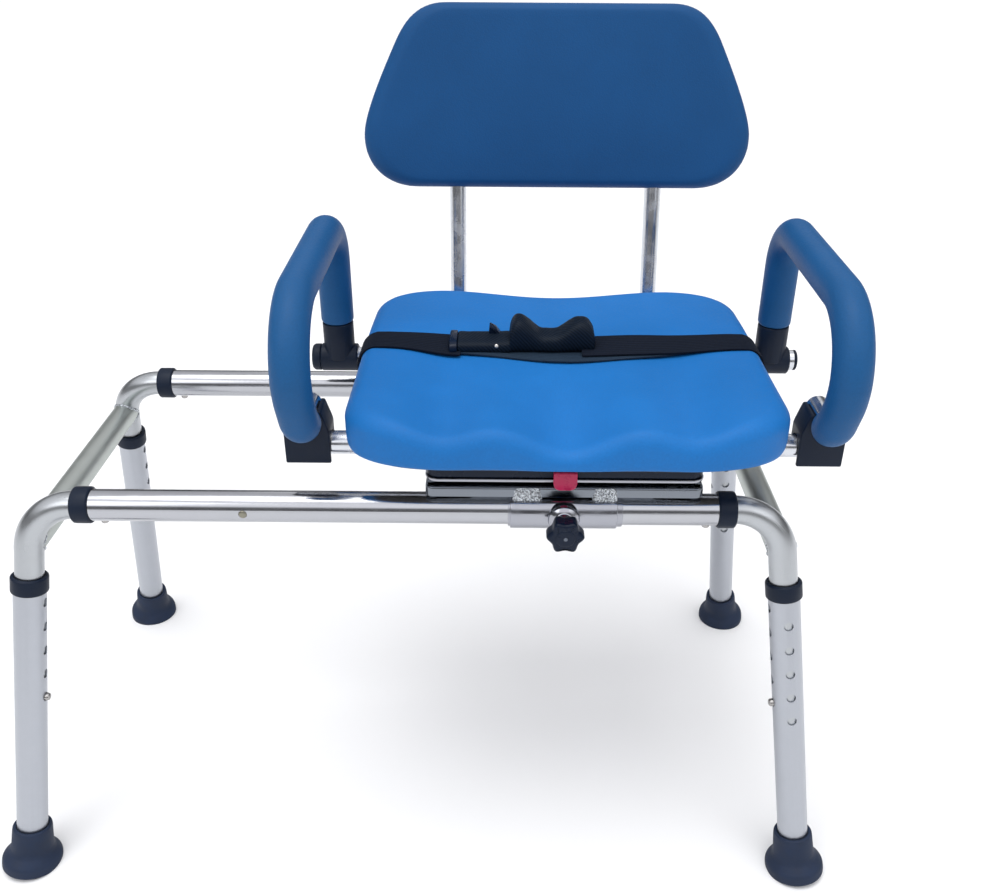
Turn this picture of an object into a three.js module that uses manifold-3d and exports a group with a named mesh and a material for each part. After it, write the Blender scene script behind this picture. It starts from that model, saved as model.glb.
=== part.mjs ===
// Bath transfer bench: a padded seat that slides along two rails and swivels on its carriage.
// Millimetres, +Z up, the bench's length along X, its front towards -Y.

import * as THREE from "three";
import { mergeVertices } from "three/addons/utils/BufferGeometryUtils.js";
import Module from "manifold-3d";

const wasm = await Module();
wasm.setup();

// ---- Driving dimensions ----

const GAP = 0.3; // clearance between pieces that touch
const ROUND = 16; // sides of a round piece
const BORE = 8; // sides of a tube's hidden inner wall

const DEPTH_SHIFT = 5.3; // puts the origin at the middle of the whole depth, behind the rails' middle

const RAIL_OD = 30;
const RAIL_WALL = 1.4;
const RAIL_SIDE = 133; // rail centre line to the middle of the frame
const RAIL_HEIGHT = 393.5;
const RAIL_HALF = 303;
const LOCK_SPOT = 147; // lock hole to the middle of the rail

const FRAME_OD = 26.6; // corner and cross tubes
const FRAME_WALL = 1.8;
const CORNER_X = 349.3; // where the rail's line meets the leg's line
const CORNER_BEND = 48;
const CROSS_X = 354;
const CROSS_HEIGHT = 354;
const PLUG_DEPTH = 57; // corner tube inside the rail
const SPLAY_OUT = 0.128; // leg's run along X for each mm down
const SPLAY_SIDE = 0.192; // leg's run along Y for each mm down

const COLLAR_OD = 34.6;
const COLLAR_LENGTH = 17;
const COLLAR_LIP = 3;
const COLLAR_CHAMFER = 1.2;
const RAIL_BUTTON_X = 281;

const LEG_COLLAR_AT = 80.7; // along the leg from the corner point to its collar
const HOLE_RADIUS = 4.5;
const HOLE_PITCH = 26;
const HOLE_COUNT = 5;
const INNER_ROW = 19; // collar's middle to the first hole that faces inwards
const OUTER_ROW = 33.5; // collar's middle to the first hole of the second row
const TUBE_PAST_BUTTON = 22;
const LEG_FROM_FLOOR = 14;
const BUTTON_RADIUS = 3.9;
const BUTTON_PROUD = 4.5;
const BUTTON_INSIDE = 5;

const FOOT_RIM = 29.4;
const FOOT_HEIGHT = 46;
const FOOT_SINK = 1.5; // foot's own base plane below the floor, cut off flat

const CARRIAGE_X = 147; // the carriage at rest
const SLEEVE_OD = 37;
const SLEEVE_LENGTH = 98;
const LINER_OD = 33.4;
const LINER_LENGTH = 105;
const BOSS_RADIUS = 14.5;
const BOSS_REACH = 29; // boss face to the rail's centre line
const STUD_RADIUS = 4;
const KNOB_RADIUS = 17;
const KNOB_FACE = 51; // knob face to the rail's centre line
const KNOB_THICK = 16;
const KNOB_LOBES = 6;

const PLATE_WIDTH = 253;
const PLATE_DEPTH = 292;
const PLATE_CORNER = 12;
const TRAY_BOTTOM = 413; // clear of the rail collars the carriage passes over
const TRAY_TOP = 423.5;
const SHEET = 3; // thickness of the tray's sheet metal
const TRAY_CORNER = 8;
const RING_OUTER = 88;
const RING_INNER = 75;
const SWIVEL_PLATE_BOTTOM = 428.5;
const SWIVEL_PLATE_TOP = 432;
const PIVOT_RADIUS = 6;
const PAN_TOP = 445;

const SEAT_TUBE_OD = 22;
const SEAT_TUBE_WALL = 1.5;
const SEAT_TUBE_HEIGHT = 446;
const FRONT_TUBE_Y = -104;
const REAR_TUBE_Y = 92;
const FRONT_TUBE_HALF = 258;
const REAR_TUBE_HALF = 261;

const BOARD_THICK = 6;
const BOARD_INSET = 14;
const SEAT_HALF = 195;
const SEAT_FRONT = -189.3;
const SEAT_REAR = 148.2;
const SEAT_BOTTOM = 463.6;
const SEAT_TOP = 507;
const SEAT_ROUND = 10;

const BACK_TUBE_OD = 18;
const BACK_TUBE_WALL = 1.5;
const BACK_TUBE_X = 107.5;
const BACK_TUBE_CORNER = 156; // where the tube's flat run meets its reclined run, along Y
const BACK_TUBE_BEND = 32;
const BACK_TUBE_TOP = 770;
const RECLINE = THREE.MathUtils.degToRad(12);
const PAD_BOTTOM = 608.5;
const PAD_HEIGHT = 188;
const PAD_THICK = 42;

const ARM_X = 235;
const ARM_TUBE_OD = 22;
const FOAM_OD = 34.6;
const ARM_TOP = 597;
const ARM_DROP = 4.5; // the top run's fall towards the front
const ARM_FRONT = -159;
const ARM_REST = 478; // arm tube's height where the front clip holds it
const PIVOT_SLEEVE_OD = 30;
const PIVOT_SLEEVE_LENGTH = 40;
const POST_SLEEVE_OD = 33;
const POST_SLEEVE_TOP = 488;
const CLIP_WIDTH = 39.5;
const CLIP_DEPTH = 30;
const CLIP_BOTTOM = 432;
const CLIP_SHOULDER = 467;
const CLIP_TOP = 484;
const CLIP_TOP_WIDTH = 30;

const BELT_WIDTH = 38;
const BELT_THICK = 2;
const BELT_Y = -6;
const BUCKLE_LEFT = -108;
const BUCKLE_RIGHT = 33;

// ---- Materials ----

const finish = (color, roughness, metalness) => (
  new THREE.MeshStandardMaterial({ color, roughness, metalness }));
const aluminium = () => finish(0xc9cacd, 0.32, 1);
const chrome = () => finish(0xd6d8da, 0.08, 1);
const zinc = () => finish(0xa7a9ac, 0.4, 1);
const blackPlastic = () => finish(0x15171b, 0.5, 0);
const blackRubber = () => finish(0x23262e, 0.75, 0);
const redPlastic = () => finish(0xc81f30, 0.35, 0);
const blueFoam = () => finish(0x2f7bc8, 0.7, 0);
const greyPlastic = () => finish(0x8d8f91, 0.6, 0);
const plywood = () => finish(0x3a3532, 0.8, 0);
const webbing = () => finish(0x101114, 0.85, 0);

// ---- Solids: booleans on closed meshes ----

function solidOf(geometry) {
  const bare = geometry.clone();
  bare.deleteAttribute("normal");
  bare.deleteAttribute("uv");
  const welded = mergeVertices(bare, 1e-4);
  const vertProperties = new Float32Array(welded.attributes.position.array);
  const triVerts = new Uint32Array(welded.index.array);
  return new wasm.Manifold(new wasm.Mesh({ numProp: 3, vertProperties, triVerts }));
}

function geometryOf(solid) {
  const mesh = solid.getMesh();
  const geometry = new THREE.BufferGeometry();
  geometry.setAttribute("position", new THREE.BufferAttribute(new Float32Array(mesh.vertProperties), 3));
  geometry.setIndex(new THREE.BufferAttribute(new Uint32Array(mesh.triVerts), 1));
  geometry.computeVertexNormals();
  return geometry;
}

function join(...geometries) {
  return geometryOf(geometries.map(solidOf).reduce((whole, piece) => whole.add(piece)));
}

function cut(geometry, ...tools) {
  return geometryOf(tools.map(solidOf).reduce((whole, tool) => whole.subtract(tool), solidOf(geometry)));
}

// ---- Basic shapes ----

function circle(radius, sides) {
  const points = [];
  for (let i = 0; i < sides; i++) {
    const angle = (i / sides) * 2 * Math.PI;
    points.push(new THREE.Vector2(radius * Math.cos(angle), radius * Math.sin(angle)));
  }
  return points;
}

function ring(outer, inner, sides = ROUND, boreSides = sides) {
  const shape = new THREE.Shape(circle(outer, sides));
  if (inner > 0) {
    shape.holes.push(new THREE.Path(circle(inner, boreSides)));
  }
  return shape;
}

// A round bar or tube along Z, centred on the origin.
function straightTube(outer, inner, length, sides = ROUND, boreSides = sides) {
  const geometry = new THREE.ExtrudeGeometry(ring(outer, inner, sides, boreSides), {
    depth: length, bevelEnabled: false,
  });
  return geometry.translate(0, 0, -length / 2);
}

const alongX = (geometry) => geometry.rotateY(Math.PI / 2);
const alongY = (geometry) => geometry.rotateX(Math.PI / 2);

// A turned piece about Z from a closed outline of [radius, height] points.
function turned(outline, sides = ROUND) {
  const points = outline.map(([radius, height]) => new THREE.Vector2(radius, height));
  return new THREE.LatheGeometry(points, sides).rotateX(Math.PI / 2);
}

function box(width, depth, low, high) {
  return new THREE.BoxGeometry(width, depth, high - low).translate(0, 0, (low + high) / 2);
}

function roundedRectangle(width, depth, corner) {
  const x = width / 2;
  const y = depth / 2;
  const shape = new THREE.Shape();
  shape.moveTo(-x + corner, -y);
  shape.lineTo(x - corner, -y);
  shape.absarc(x - corner, -y + corner, corner, -Math.PI / 2, 0);
  shape.lineTo(x, y - corner);
  shape.absarc(x - corner, y - corner, corner, 0, Math.PI / 2);
  shape.lineTo(-x + corner, y);
  shape.absarc(-x + corner, y - corner, corner, Math.PI / 2, Math.PI);
  shape.lineTo(-x, -y + corner);
  shape.absarc(-x + corner, -y + corner, corner, Math.PI, 1.5 * Math.PI);
  return shape;
}

function slab(shape, low, high, curveSegments = 5) {
  const options = { depth: high - low, bevelEnabled: false, curveSegments };
  const geometry = new THREE.ExtrudeGeometry(shape, options);
  return geometry.translate(0, 0, low);
}

// A slab with rounded upper and lower edges; the shape is the outline before rounding.
function softSlab(shape, low, high, round, curveSegments = 4, bevelSegments = 2) {
  const geometry = new THREE.ExtrudeGeometry(shape, {
    depth: high - low - 2 * round, bevelThickness: round, bevelSize: round, bevelOffset: -round,
    bevelSegments, curveSegments,
  });
  return geometry.translate(0, 0, low + round);
}

// ---- Bent tubes ----

// A path of straight runs and round bends, sampled only where it turns.
class BentPath extends THREE.Curve {
  constructor(corners, bends, step) {
    super();
    this.stations = [corners[0].clone()];
    this.headings = [corners[1].clone().sub(corners[0]).normalize()];
    for (let i = 1; i < corners.length - 1; i++) {
      this.addBend(corners[i], corners[i + 1], bends[i - 1], step);
    }
    this.stations.push(corners[corners.length - 1].clone());
    this.headings.push(this.headings[this.headings.length - 1].clone());
  }

  addBend(corner, next, radius, step) {
    const before = this.headings[this.headings.length - 1].clone();
    const after = next.clone().sub(corner).normalize();
    const turn = before.angleTo(after);
    const axis = before.clone().cross(after).normalize();
    const start = corner.clone().addScaledVector(before, -radius * Math.tan(turn / 2));
    const outward = axis.clone().cross(before).multiplyScalar(radius);
    const centre = start.clone().add(outward);
    const count = Math.max(2, Math.round(turn / step));
    for (let i = 0; i <= count; i++) {
      const angle = (turn * i) / count;
      this.stations.push(start.clone().sub(centre).applyAxisAngle(axis, angle).add(centre));
      this.headings.push(before.clone().applyAxisAngle(axis, angle));
    }
  }

  getPointAt(u) {
    return this.stations[Math.round(u * (this.stations.length - 1))].clone();
  }

  getPoint(u) {
    return this.getPointAt(u);
  }

  getTangentAt(u) {
    return this.headings[Math.round(u * (this.headings.length - 1))].clone();
  }
}

const BEND_STEP = THREE.MathUtils.degToRad(14);
const SOFT_BEND_STEP = THREE.MathUtils.degToRad(20);

function bentTube(path, outer, inner, sides = ROUND, boreSides = BORE) {
  return new THREE.ExtrudeGeometry(ring(outer, inner, sides, boreSides), {
    steps: path.stations.length - 1, extrudePath: path, bevelEnabled: false,
  });
}

const point = (x, y, z) => new THREE.Vector3(x, y, z);

// ---- Assembly helpers ----

const bench = new THREE.Group();
bench.position.y = -DEPTH_SHIFT;

function addPiece(parent, name, geometry, material) {
  const mesh = new THREE.Mesh(geometry, material);
  mesh.name = name;
  parent.add(mesh);
  return mesh;
}

const CORNERS = [
  { name: "front_left", x: -1, y: -1 },
  { name: "front_right", x: 1, y: -1 },
  { name: "rear_left", x: -1, y: 1 },
  { name: "rear_right", x: 1, y: 1 },
];
const LEFT_AND_RIGHT = [["left", -1], ["right", 1]];
const FRONT_AND_REAR = [["front", -1], ["rear", 1]];

// ---- Frame ----

const legDown = (corner) => point(corner.x * SPLAY_OUT, corner.y * SPLAY_SIDE, -1).normalize();
const cornerPoint = (corner) => point(corner.x * CORNER_X, corner.y * RAIL_SIDE, RAIL_HEIGHT);

function alongLeg(corner, distance) {
  return cornerPoint(corner).addScaledVector(legDown(corner), distance);
}

const BUTTON_ALONG_LEG = LEG_COLLAR_AT + INNER_ROW + (HOLE_COUNT - 1) * HOLE_PITCH;

function cornerPath(corner) {
  const start = point(corner.x * (RAIL_HALF - PLUG_DEPTH), corner.y * RAIL_SIDE, RAIL_HEIGHT);
  const end = alongLeg(corner, BUTTON_ALONG_LEG + TUBE_PAST_BUTTON);
  return new BentPath([start, cornerPoint(corner), end], [CORNER_BEND], BEND_STEP);
}

// Turns a piece made along +Z so that +Z points up the leg and +X points inwards, square to the leg.
function legFrame(corner, distance) {
  const up = legDown(corner).negate();
  const inwards = point(-corner.x, 0, 0);
  inwards.addScaledVector(up, -inwards.dot(up)).normalize();
  const side = up.clone().cross(inwards);
  const matrix = new THREE.Matrix4().makeBasis(inwards, side, up);
  return matrix.setPosition(alongLeg(corner, distance));
}

function buttonHole(x, z) {
  return alongX(straightTube(HOLE_RADIUS, 0, RAIL_OD / 2, 8)).translate(x + RAIL_OD / 4, 0, z);
}

function cornerTube(corner) {
  const tube = bentTube(cornerPath(corner), FRAME_OD / 2, FRAME_OD / 2 - FRAME_WALL);
  const slotLength = TUBE_PAST_BUTTON + 4;
  const slot = new THREE.BoxGeometry(RAIL_OD / 2, 2 * HOLE_RADIUS, slotLength)
    .translate(RAIL_OD / 4 + 4, 0, -slotLength / 2 + HOLE_RADIUS)
    .applyMatrix4(legFrame(corner, BUTTON_ALONG_LEG));
  const railHole = straightTube(HOLE_RADIUS, 0, RAIL_OD / 2, 8)
    .translate(corner.x * RAIL_BUTTON_X, corner.y * RAIL_SIDE, RAIL_HEIGHT - RAIL_OD / 4 - 4);
  return cut(tube, slot, railHole);
}

function rail(side) {
  const tube = alongX(straightTube(RAIL_OD / 2, RAIL_OD / 2 - RAIL_WALL, 2 * RAIL_HALF));
  const holes = [];
  for (const [, end] of LEFT_AND_RIGHT) {
    const buttonHole = straightTube(HOLE_RADIUS, 0, RAIL_OD / 2, 8);
    holes.push(buttonHole.translate(end * RAIL_BUTTON_X, 0, -RAIL_OD / 4 - 4));
    if (side < 0) {
      const lockHole = alongY(straightTube(STUD_RADIUS, 0, RAIL_OD / 2, 8));
      holes.push(lockHole.translate(end * LOCK_SPOT, -RAIL_OD / 4 - 4, 0));
    }
  }
  return cut(tube, ...holes);
}

function crossTube(side) {
  const tube = alongY(straightTube(FRAME_OD / 2, FRAME_OD / 2 - FRAME_WALL, 2 * RAIL_SIDE + 8, ROUND, BORE))
    .translate(side * CROSS_X, 0, CROSS_HEIGHT);
  const bends = CORNERS.filter((corner) => corner.x === side)
    .map((corner) => bentTube(cornerPath(corner), FRAME_OD / 2 + GAP, 0));
  return cut(tube, ...bends);
}

// A collar about Z: its wide bore takes the outer tube, its lip at the top the inner tube.
function collar() {
  const outer = COLLAR_OD / 2;
  const wide = RAIL_OD / 2 + GAP;
  const narrow = FRAME_OD / 2 + 2 * GAP;
  const half = COLLAR_LENGTH / 2;
  return turned([
    [wide, -half],
    [outer - COLLAR_CHAMFER, -half],
    [outer, -half + COLLAR_CHAMFER],
    [outer, half - COLLAR_CHAMFER],
    [outer - COLLAR_CHAMFER, half],
    [narrow, half],
    [narrow, half - COLLAR_LIP],
    [wide, half - COLLAR_LIP],
    [wide, -half],
  ]);
}

// A sprung pin about Z with a domed tip; the tip is at the given height.
function snapButton(tip) {
  const low = tip - BUTTON_PROUD - BUTTON_INSIDE;
  return turned([
    [0, low],
    [BUTTON_RADIUS, low],
    [BUTTON_RADIUS, tip - 2],
    [BUTTON_RADIUS - 1.6, tip],
    [0, tip],
  ], 10);
}

function buildFrame() {
  for (const [name, side] of FRONT_AND_REAR) {
    addPiece(bench, `rail_${name}`, rail(side), aluminium()).position.set(0, side * RAIL_SIDE, RAIL_HEIGHT);
  }
  for (const corner of CORNERS) {
    addPiece(bench, `corner_tube_${corner.name}`, cornerTube(corner), aluminium());
    const ring = addPiece(bench, `rail_collar_${corner.name}`, collar(), blackPlastic());
    ring.rotation.y = corner.x * Math.PI / 2;
    const collarX = RAIL_HALF + GAP + COLLAR_LIP - COLLAR_LENGTH / 2;
    ring.position.set(corner.x * collarX, corner.y * RAIL_SIDE, RAIL_HEIGHT);
    const pin = snapButton(RAIL_OD / 2 + BUTTON_PROUD);
    const button = addPiece(bench, `rail_button_${corner.name}`, pin, zinc());
    button.rotation.x = Math.PI;
    button.position.set(corner.x * RAIL_BUTTON_X, corner.y * RAIL_SIDE, RAIL_HEIGHT);
  }
  for (const [name, side] of LEFT_AND_RIGHT) {
    addPiece(bench, `cross_tube_${name}`, crossTube(side), aluminium());
  }
}

// ---- Legs ----

const LEG_LENGTH_TO_FLOOR = RAIL_HEIGHT * Math.hypot(SPLAY_OUT, SPLAY_SIDE, 1);
const LEG_TOP = LEG_COLLAR_AT - COLLAR_LENGTH / 2 + COLLAR_LIP + GAP;
const LEG_END = LEG_LENGTH_TO_FLOOR - LEG_FROM_FLOOR;

function lowerLeg() {
  const length = LEG_END - LEG_TOP;
  const tube = straightTube(RAIL_OD / 2, RAIL_OD / 2 - RAIL_WALL, length);
  const top = length / 2;
  const holes = [];
  for (let i = 0; i < HOLE_COUNT; i++) {
    const below = i * HOLE_PITCH + LEG_COLLAR_AT - LEG_TOP;
    holes.push(buttonHole(4, top - below - INNER_ROW));
    holes.push(buttonHole(4, 0).rotateZ(Math.PI / 2).translate(0, 0, top - below - OUTER_ROW));
  }
  return cut(tube, ...holes);
}

// A rubber foot square to its leg, with its base cut flat where it meets the floor.
function foot(corner) {
  const bore = RAIL_OD / 2 + GAP;
  const socket = LEG_FROM_FLOOR - GAP;
  const body = turned([
    [0, -FOOT_SINK],
    [FOOT_RIM - 1.5, -FOOT_SINK],
    [FOOT_RIM, 1.5],
    [FOOT_RIM - 0.6, 9],
    [FOOT_RIM - 3.4, 14],
    [22.5, 18],
    [20.6, 22],
    [19, FOOT_HEIGHT - 2],
    [18, FOOT_HEIGHT],
    [bore, FOOT_HEIGHT],
    [bore, socket],
    [0, socket],
  ]).applyMatrix4(legFrame(corner, LEG_LENGTH_TO_FLOOR));
  const floorPoint = alongLeg(corner, LEG_LENGTH_TO_FLOOR);
  return cut(body, box(100, 100, -40, 0).translate(floorPoint.x, floorPoint.y, 0));
}

function buildLegs() {
  for (const corner of CORNERS) {
    const leg = addPiece(bench, `lower_leg_${corner.name}`, lowerLeg(), aluminium());
    leg.applyMatrix4(legFrame(corner, (LEG_TOP + LEG_END) / 2));
    const ring = addPiece(bench, `leg_collar_${corner.name}`, collar(), blackPlastic());
    ring.applyMatrix4(legFrame(corner, LEG_COLLAR_AT));
    addPiece(bench, `foot_${corner.name}`, foot(corner), blackRubber());
    const button = addPiece(bench, `leg_button_${corner.name}`,
      alongX(snapButton(RAIL_OD / 2 + BUTTON_PROUD)), zinc());
    button.applyMatrix4(legFrame(corner, BUTTON_ALONG_LEG));
  }
}

// ---- Carriage ----

const carriage = new THREE.Group();
carriage.position.x = CARRIAGE_X;
bench.add(carriage);

// A sleeve along X whose liner shows at both ends.
function sleeve() {
  const bore = RAIL_OD / 2 + GAP;
  const shell = straightTube(SLEEVE_OD / 2, bore, SLEEVE_LENGTH);
  return alongX(join(shell, straightTube(LINER_OD / 2, bore, LINER_LENGTH)));
}

// The front sleeve has a threaded boss for the lock knob.
function frontSleeve() {
  const bossFoot = SLEEVE_OD / 2 - 4;
  const boss = turned([[0, bossFoot], [BOSS_RADIUS, bossFoot], [BOSS_RADIUS, SLEEVE_OD / 2 + 1],
    [12, SLEEVE_OD / 2 + 4], [8, BOSS_REACH - 4], [8, BOSS_REACH], [0, BOSS_REACH]]);
  const whole = join(sleeve(), alongY(boss));
  const bore = alongX(straightTube(RAIL_OD / 2 + GAP, 0, LINER_LENGTH + 2));
  const thread = alongY(straightTube(STUD_RADIUS + GAP, 0, BOSS_REACH + 2, 12));
  return cut(whole, bore, thread.translate(0, -(BOSS_REACH + 2) / 2, 0));
}

function knobOutline() {
  const points = [];
  const count = KNOB_LOBES * 6;
  for (let i = 0; i < count; i++) {
    const angle = (i / count) * 2 * Math.PI;
    const radius = KNOB_RADIUS - 1.5 * (1 - Math.cos(KNOB_LOBES * angle));
    points.push(new THREE.Vector2(radius * Math.cos(angle), radius * Math.sin(angle)));
  }
  return new THREE.Shape(points);
}

// The star knob points along -Y with its stud towards the rail.
function lockKnob() {
  const back = KNOB_FACE - KNOB_THICK;
  const star = softSlab(knobOutline(), back, KNOB_FACE, 2, 1, 1);
  const neck = straightTube(9, 0, 6, 16).translate(0, 0, back - 1);
  const tip = RAIL_OD / 2 + GAP;
  const stud = straightTube(STUD_RADIUS, 0, back - tip + 4, 12).translate(0, 0, (tip + back + 4) / 2);
  return alongY(join(star, neck, stud));
}

function lowerPlate() {
  const shell = slab(roundedRectangle(PLATE_WIDTH, PLATE_DEPTH, TRAY_CORNER), TRAY_BOTTOM, TRAY_TOP);
  const inside = roundedRectangle(PLATE_WIDTH - 2 * SHEET, PLATE_DEPTH - 2 * SHEET, TRAY_CORNER - SHEET);
  const tray = cut(shell, slab(inside, TRAY_BOTTOM - 1, TRAY_TOP - SHEET));
  const saddleLow = RAIL_HEIGHT + SLEEVE_OD / 2 + GAP;
  const saddles = FRONT_AND_REAR.map(([, side]) => box(SLEEVE_LENGTH, 16, saddleLow, TRAY_TOP - 1)
    .translate(0, side * RAIL_SIDE, 0));
  return cut(join(tray, ...saddles), straightTube(PIVOT_RADIUS + GAP, 0, 40).translate(0, 0, TRAY_TOP));
}

function buildCarriage() {
  const front = addPiece(carriage, "sleeve_front", frontSleeve(), chrome());
  front.position.set(0, -RAIL_SIDE, RAIL_HEIGHT);
  addPiece(carriage, "sleeve_rear", sleeve(), chrome()).position.set(0, RAIL_SIDE, RAIL_HEIGHT);
  addPiece(carriage, "lock_knob", lockKnob(), blackPlastic()).position.set(0, -RAIL_SIDE, RAIL_HEIGHT);
  addPiece(carriage, "swivel_lower_plate", lowerPlate(), chrome());
  const ringThick = SWIVEL_PLATE_BOTTOM - TRAY_TOP - 2 * GAP;
  addPiece(carriage, "swivel_bearing", straightTube(RING_OUTER, RING_INNER, ringThick, 24), greyPlastic())
    .position.z = (SWIVEL_PLATE_BOTTOM + TRAY_TOP) / 2;
}

// ---- Seat: everything that swivels ----

const seat = new THREE.Group();
carriage.add(seat);

function upperPlate() {
  const outline = roundedRectangle(PLATE_WIDTH, PLATE_DEPTH, PLATE_CORNER);
  const plate = slab(outline, SWIVEL_PLATE_BOTTOM, SWIVEL_PLATE_TOP);
  return cut(plate, straightTube(PIVOT_RADIUS + GAP, 0, 40).translate(0, 0, SWIVEL_PLATE_TOP));
}

function pivotBolt() {
  const head = SWIVEL_PLATE_TOP + GAP;
  return turned([[0, TRAY_BOTTOM], [PIVOT_RADIUS - 1, TRAY_BOTTOM], [PIVOT_RADIUS, TRAY_BOTTOM + 1],
    [PIVOT_RADIUS, head], [11, head], [11, head + 4], [8, head + 6], [0, head + 6]], 18);
}

function pivotNut() {
  const high = TRAY_TOP - SHEET - GAP;
  return straightTube(10, PIVOT_RADIUS + GAP, 7, 6, 18).translate(0, 0, high - 3.5);
}

// A black pan between the swivel plate and the seat frame, with a groove for each tube that crosses it.
function seatPan() {
  const low = SWIVEL_PLATE_TOP + GAP;
  const pan = slab(roundedRectangle(PLATE_WIDTH - 2, PLATE_DEPTH - 2, PLATE_CORNER), low, PAN_TOP);
  const groove = SEAT_TUBE_OD / 2 + GAP;
  const across = [FRONT_TUBE_Y, REAR_TUBE_Y].map((y) => (
    alongX(straightTube(groove, 0, PLATE_WIDTH + 10)).translate(0, y, SEAT_TUBE_HEIGHT)));
  const rearward = LEFT_AND_RIGHT.map(([, side]) => alongY(straightTube(BACK_TUBE_OD / 2 + GAP, 0, 80))
    .translate(side * BACK_TUBE_X, REAR_TUBE_Y + 40, SEAT_TUBE_HEIGHT));
  return cut(pan, ...across, ...rearward, straightTube(14, 0, 60).translate(0, 0, PAN_TOP));
}

// A red tab in front with a tongue between the two plates.
function releaseLever() {
  const front = -PLATE_DEPTH / 2;
  const tongue = box(18, 36, TRAY_TOP + 0.8, SWIVEL_PLATE_BOTTOM - 0.8).translate(0, front + 15, 0);
  const tab = new THREE.Shape();
  tab.moveTo(-7, 0);
  tab.quadraticCurveTo(-10.8, 0, -10.8, 5);
  tab.lineTo(-10.8, 19);
  tab.lineTo(10.8, 19);
  tab.lineTo(10.8, 5);
  tab.quadraticCurveTo(10.8, 0, 7, 0);
  tab.closePath();
  const grip = alongY(softSlab(tab, 0, 6, 1.2, 4, 2)).translate(0, front - GAP, TRAY_TOP + 0.5);
  return join(tongue, grip);
}

function seatOutline(inset) {
  const side = SEAT_HALF - inset;
  const back = side - 1.4;
  const front = SEAT_FRONT + inset;
  const rear = SEAT_REAR - inset;
  const shape = new THREE.Shape();
  shape.moveTo(-100, front);
  shape.lineTo(100, front);
  shape.bezierCurveTo(157, front, side, front + 23.7, side, front + 59.3);
  shape.lineTo(side, 30);
  shape.lineTo(back, rear - 55);
  shape.bezierCurveTo(back - 3, rear - 16.5, back - 30, rear, 122, rear);
  shape.lineTo(-122, rear);
  shape.bezierCurveTo(-back + 30, rear, -back + 3, rear - 16.5, -back, rear - 55);
  shape.lineTo(-side, 30);
  shape.lineTo(-side, front + 59.3);
  shape.bezierCurveTo(-side, front + 23.7, -157, front, -100, front);
  return shape;
}

function seatBoard() {
  const low = SEAT_TUBE_HEIGHT + SEAT_TUBE_OD / 2 + GAP;
  return slab(seatOutline(BOARD_INSET), low, low + BOARD_THICK, 4);
}

function seatCushion() {
  return softSlab(seatOutline(0), SEAT_BOTTOM, SEAT_TOP, SEAT_ROUND, 4, 3);
}

function seatTube(half) {
  return alongX(straightTube(SEAT_TUBE_OD / 2, SEAT_TUBE_OD / 2 - SEAT_TUBE_WALL, 2 * half, ROUND, BORE));
}

const backLean = (z) => BACK_TUBE_CORNER + (z - SEAT_TUBE_HEIGHT) * Math.tan(RECLINE);

function backTube(side) {
  const x = side * BACK_TUBE_X;
  const path = new BentPath([
    point(x, REAR_TUBE_Y + 2, SEAT_TUBE_HEIGHT),
    point(x, BACK_TUBE_CORNER, SEAT_TUBE_HEIGHT),
    point(x, backLean(BACK_TUBE_TOP), BACK_TUBE_TOP),
  ], [BACK_TUBE_BEND], BEND_STEP);
  const tube = bentTube(path, BACK_TUBE_OD / 2, BACK_TUBE_OD / 2 - BACK_TUBE_WALL, 14, 6);
  const seatTubeSpace = alongX(straightTube(SEAT_TUBE_OD / 2 + GAP, 0, 60));
  return cut(tube, seatTubeSpace.translate(x, REAR_TUBE_Y, SEAT_TUBE_HEIGHT));
}

// The backrest's outline: x across, y up from its lower edge.
function padOutline() {
  const shape = new THREE.Shape();
  shape.moveTo(-152, 0);
  shape.lineTo(152, 0);
  shape.bezierCurveTo(188, 0, 212, 24, 209, 58);
  shape.bezierCurveTo(207, 78, 190, 115, 175, 146);
  shape.bezierCurveTo(163, 172, 148, PAD_HEIGHT, 119, PAD_HEIGHT);
  shape.lineTo(-119, PAD_HEIGHT);
  shape.bezierCurveTo(-148, PAD_HEIGHT, -163, 172, -175, 146);
  shape.bezierCurveTo(-190, 115, -207, 78, -209, 58);
  shape.bezierCurveTo(-212, 24, -188, 0, -152, 0);
  return shape;
}

function backrest() {
  const pad = softSlab(padOutline(), -PAD_THICK / 2, PAD_THICK / 2, 14);
  const channelTop = (BACK_TUBE_TOP - PAD_BOTTOM) / Math.cos(RECLINE) + 1;
  const channels = LEFT_AND_RIGHT.map(([, side]) => {
    const channel = straightTube(BACK_TUBE_OD / 2 + GAP + 0.1, 0, channelTop + 10, 18);
    return channel.rotateX(Math.PI / 2).translate(side * BACK_TUBE_X, (channelTop - 10) / 2, 0);
  });
  return cut(pad, ...channels);
}

function buildSeat() {
  addPiece(seat, "swivel_upper_plate", upperPlate(), chrome());
  addPiece(seat, "pivot_bolt", pivotBolt(), zinc());
  addPiece(seat, "pivot_nut", pivotNut(), zinc());
  addPiece(seat, "seat_pan", seatPan(), blackPlastic());
  addPiece(seat, "release_lever", releaseLever(), redPlastic());
  addPiece(seat, "seat_tube_front", seatTube(FRONT_TUBE_HALF), chrome())
    .position.set(0, FRONT_TUBE_Y, SEAT_TUBE_HEIGHT);
  addPiece(seat, "seat_tube_rear", seatTube(REAR_TUBE_HALF), chrome())
    .position.set(0, REAR_TUBE_Y, SEAT_TUBE_HEIGHT);
  addPiece(seat, "seat_board", seatBoard(), plywood());
  addPiece(seat, "seat_cushion", seatCushion(), blueFoam());
  for (const [name, side] of LEFT_AND_RIGHT) {
    addPiece(seat, `back_tube_${name}`, backTube(side), chrome());
  }
  const pad = addPiece(seat, "backrest", backrest(), blueFoam());
  pad.position.set(0, backLean(PAD_BOTTOM), PAD_BOTTOM);
  pad.rotation.x = Math.PI / 2 - RECLINE;
}

// ---- Arms ----

const ARM_TUBE_START = SEAT_TUBE_HEIGHT + PIVOT_SLEEVE_OD / 2;

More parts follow.
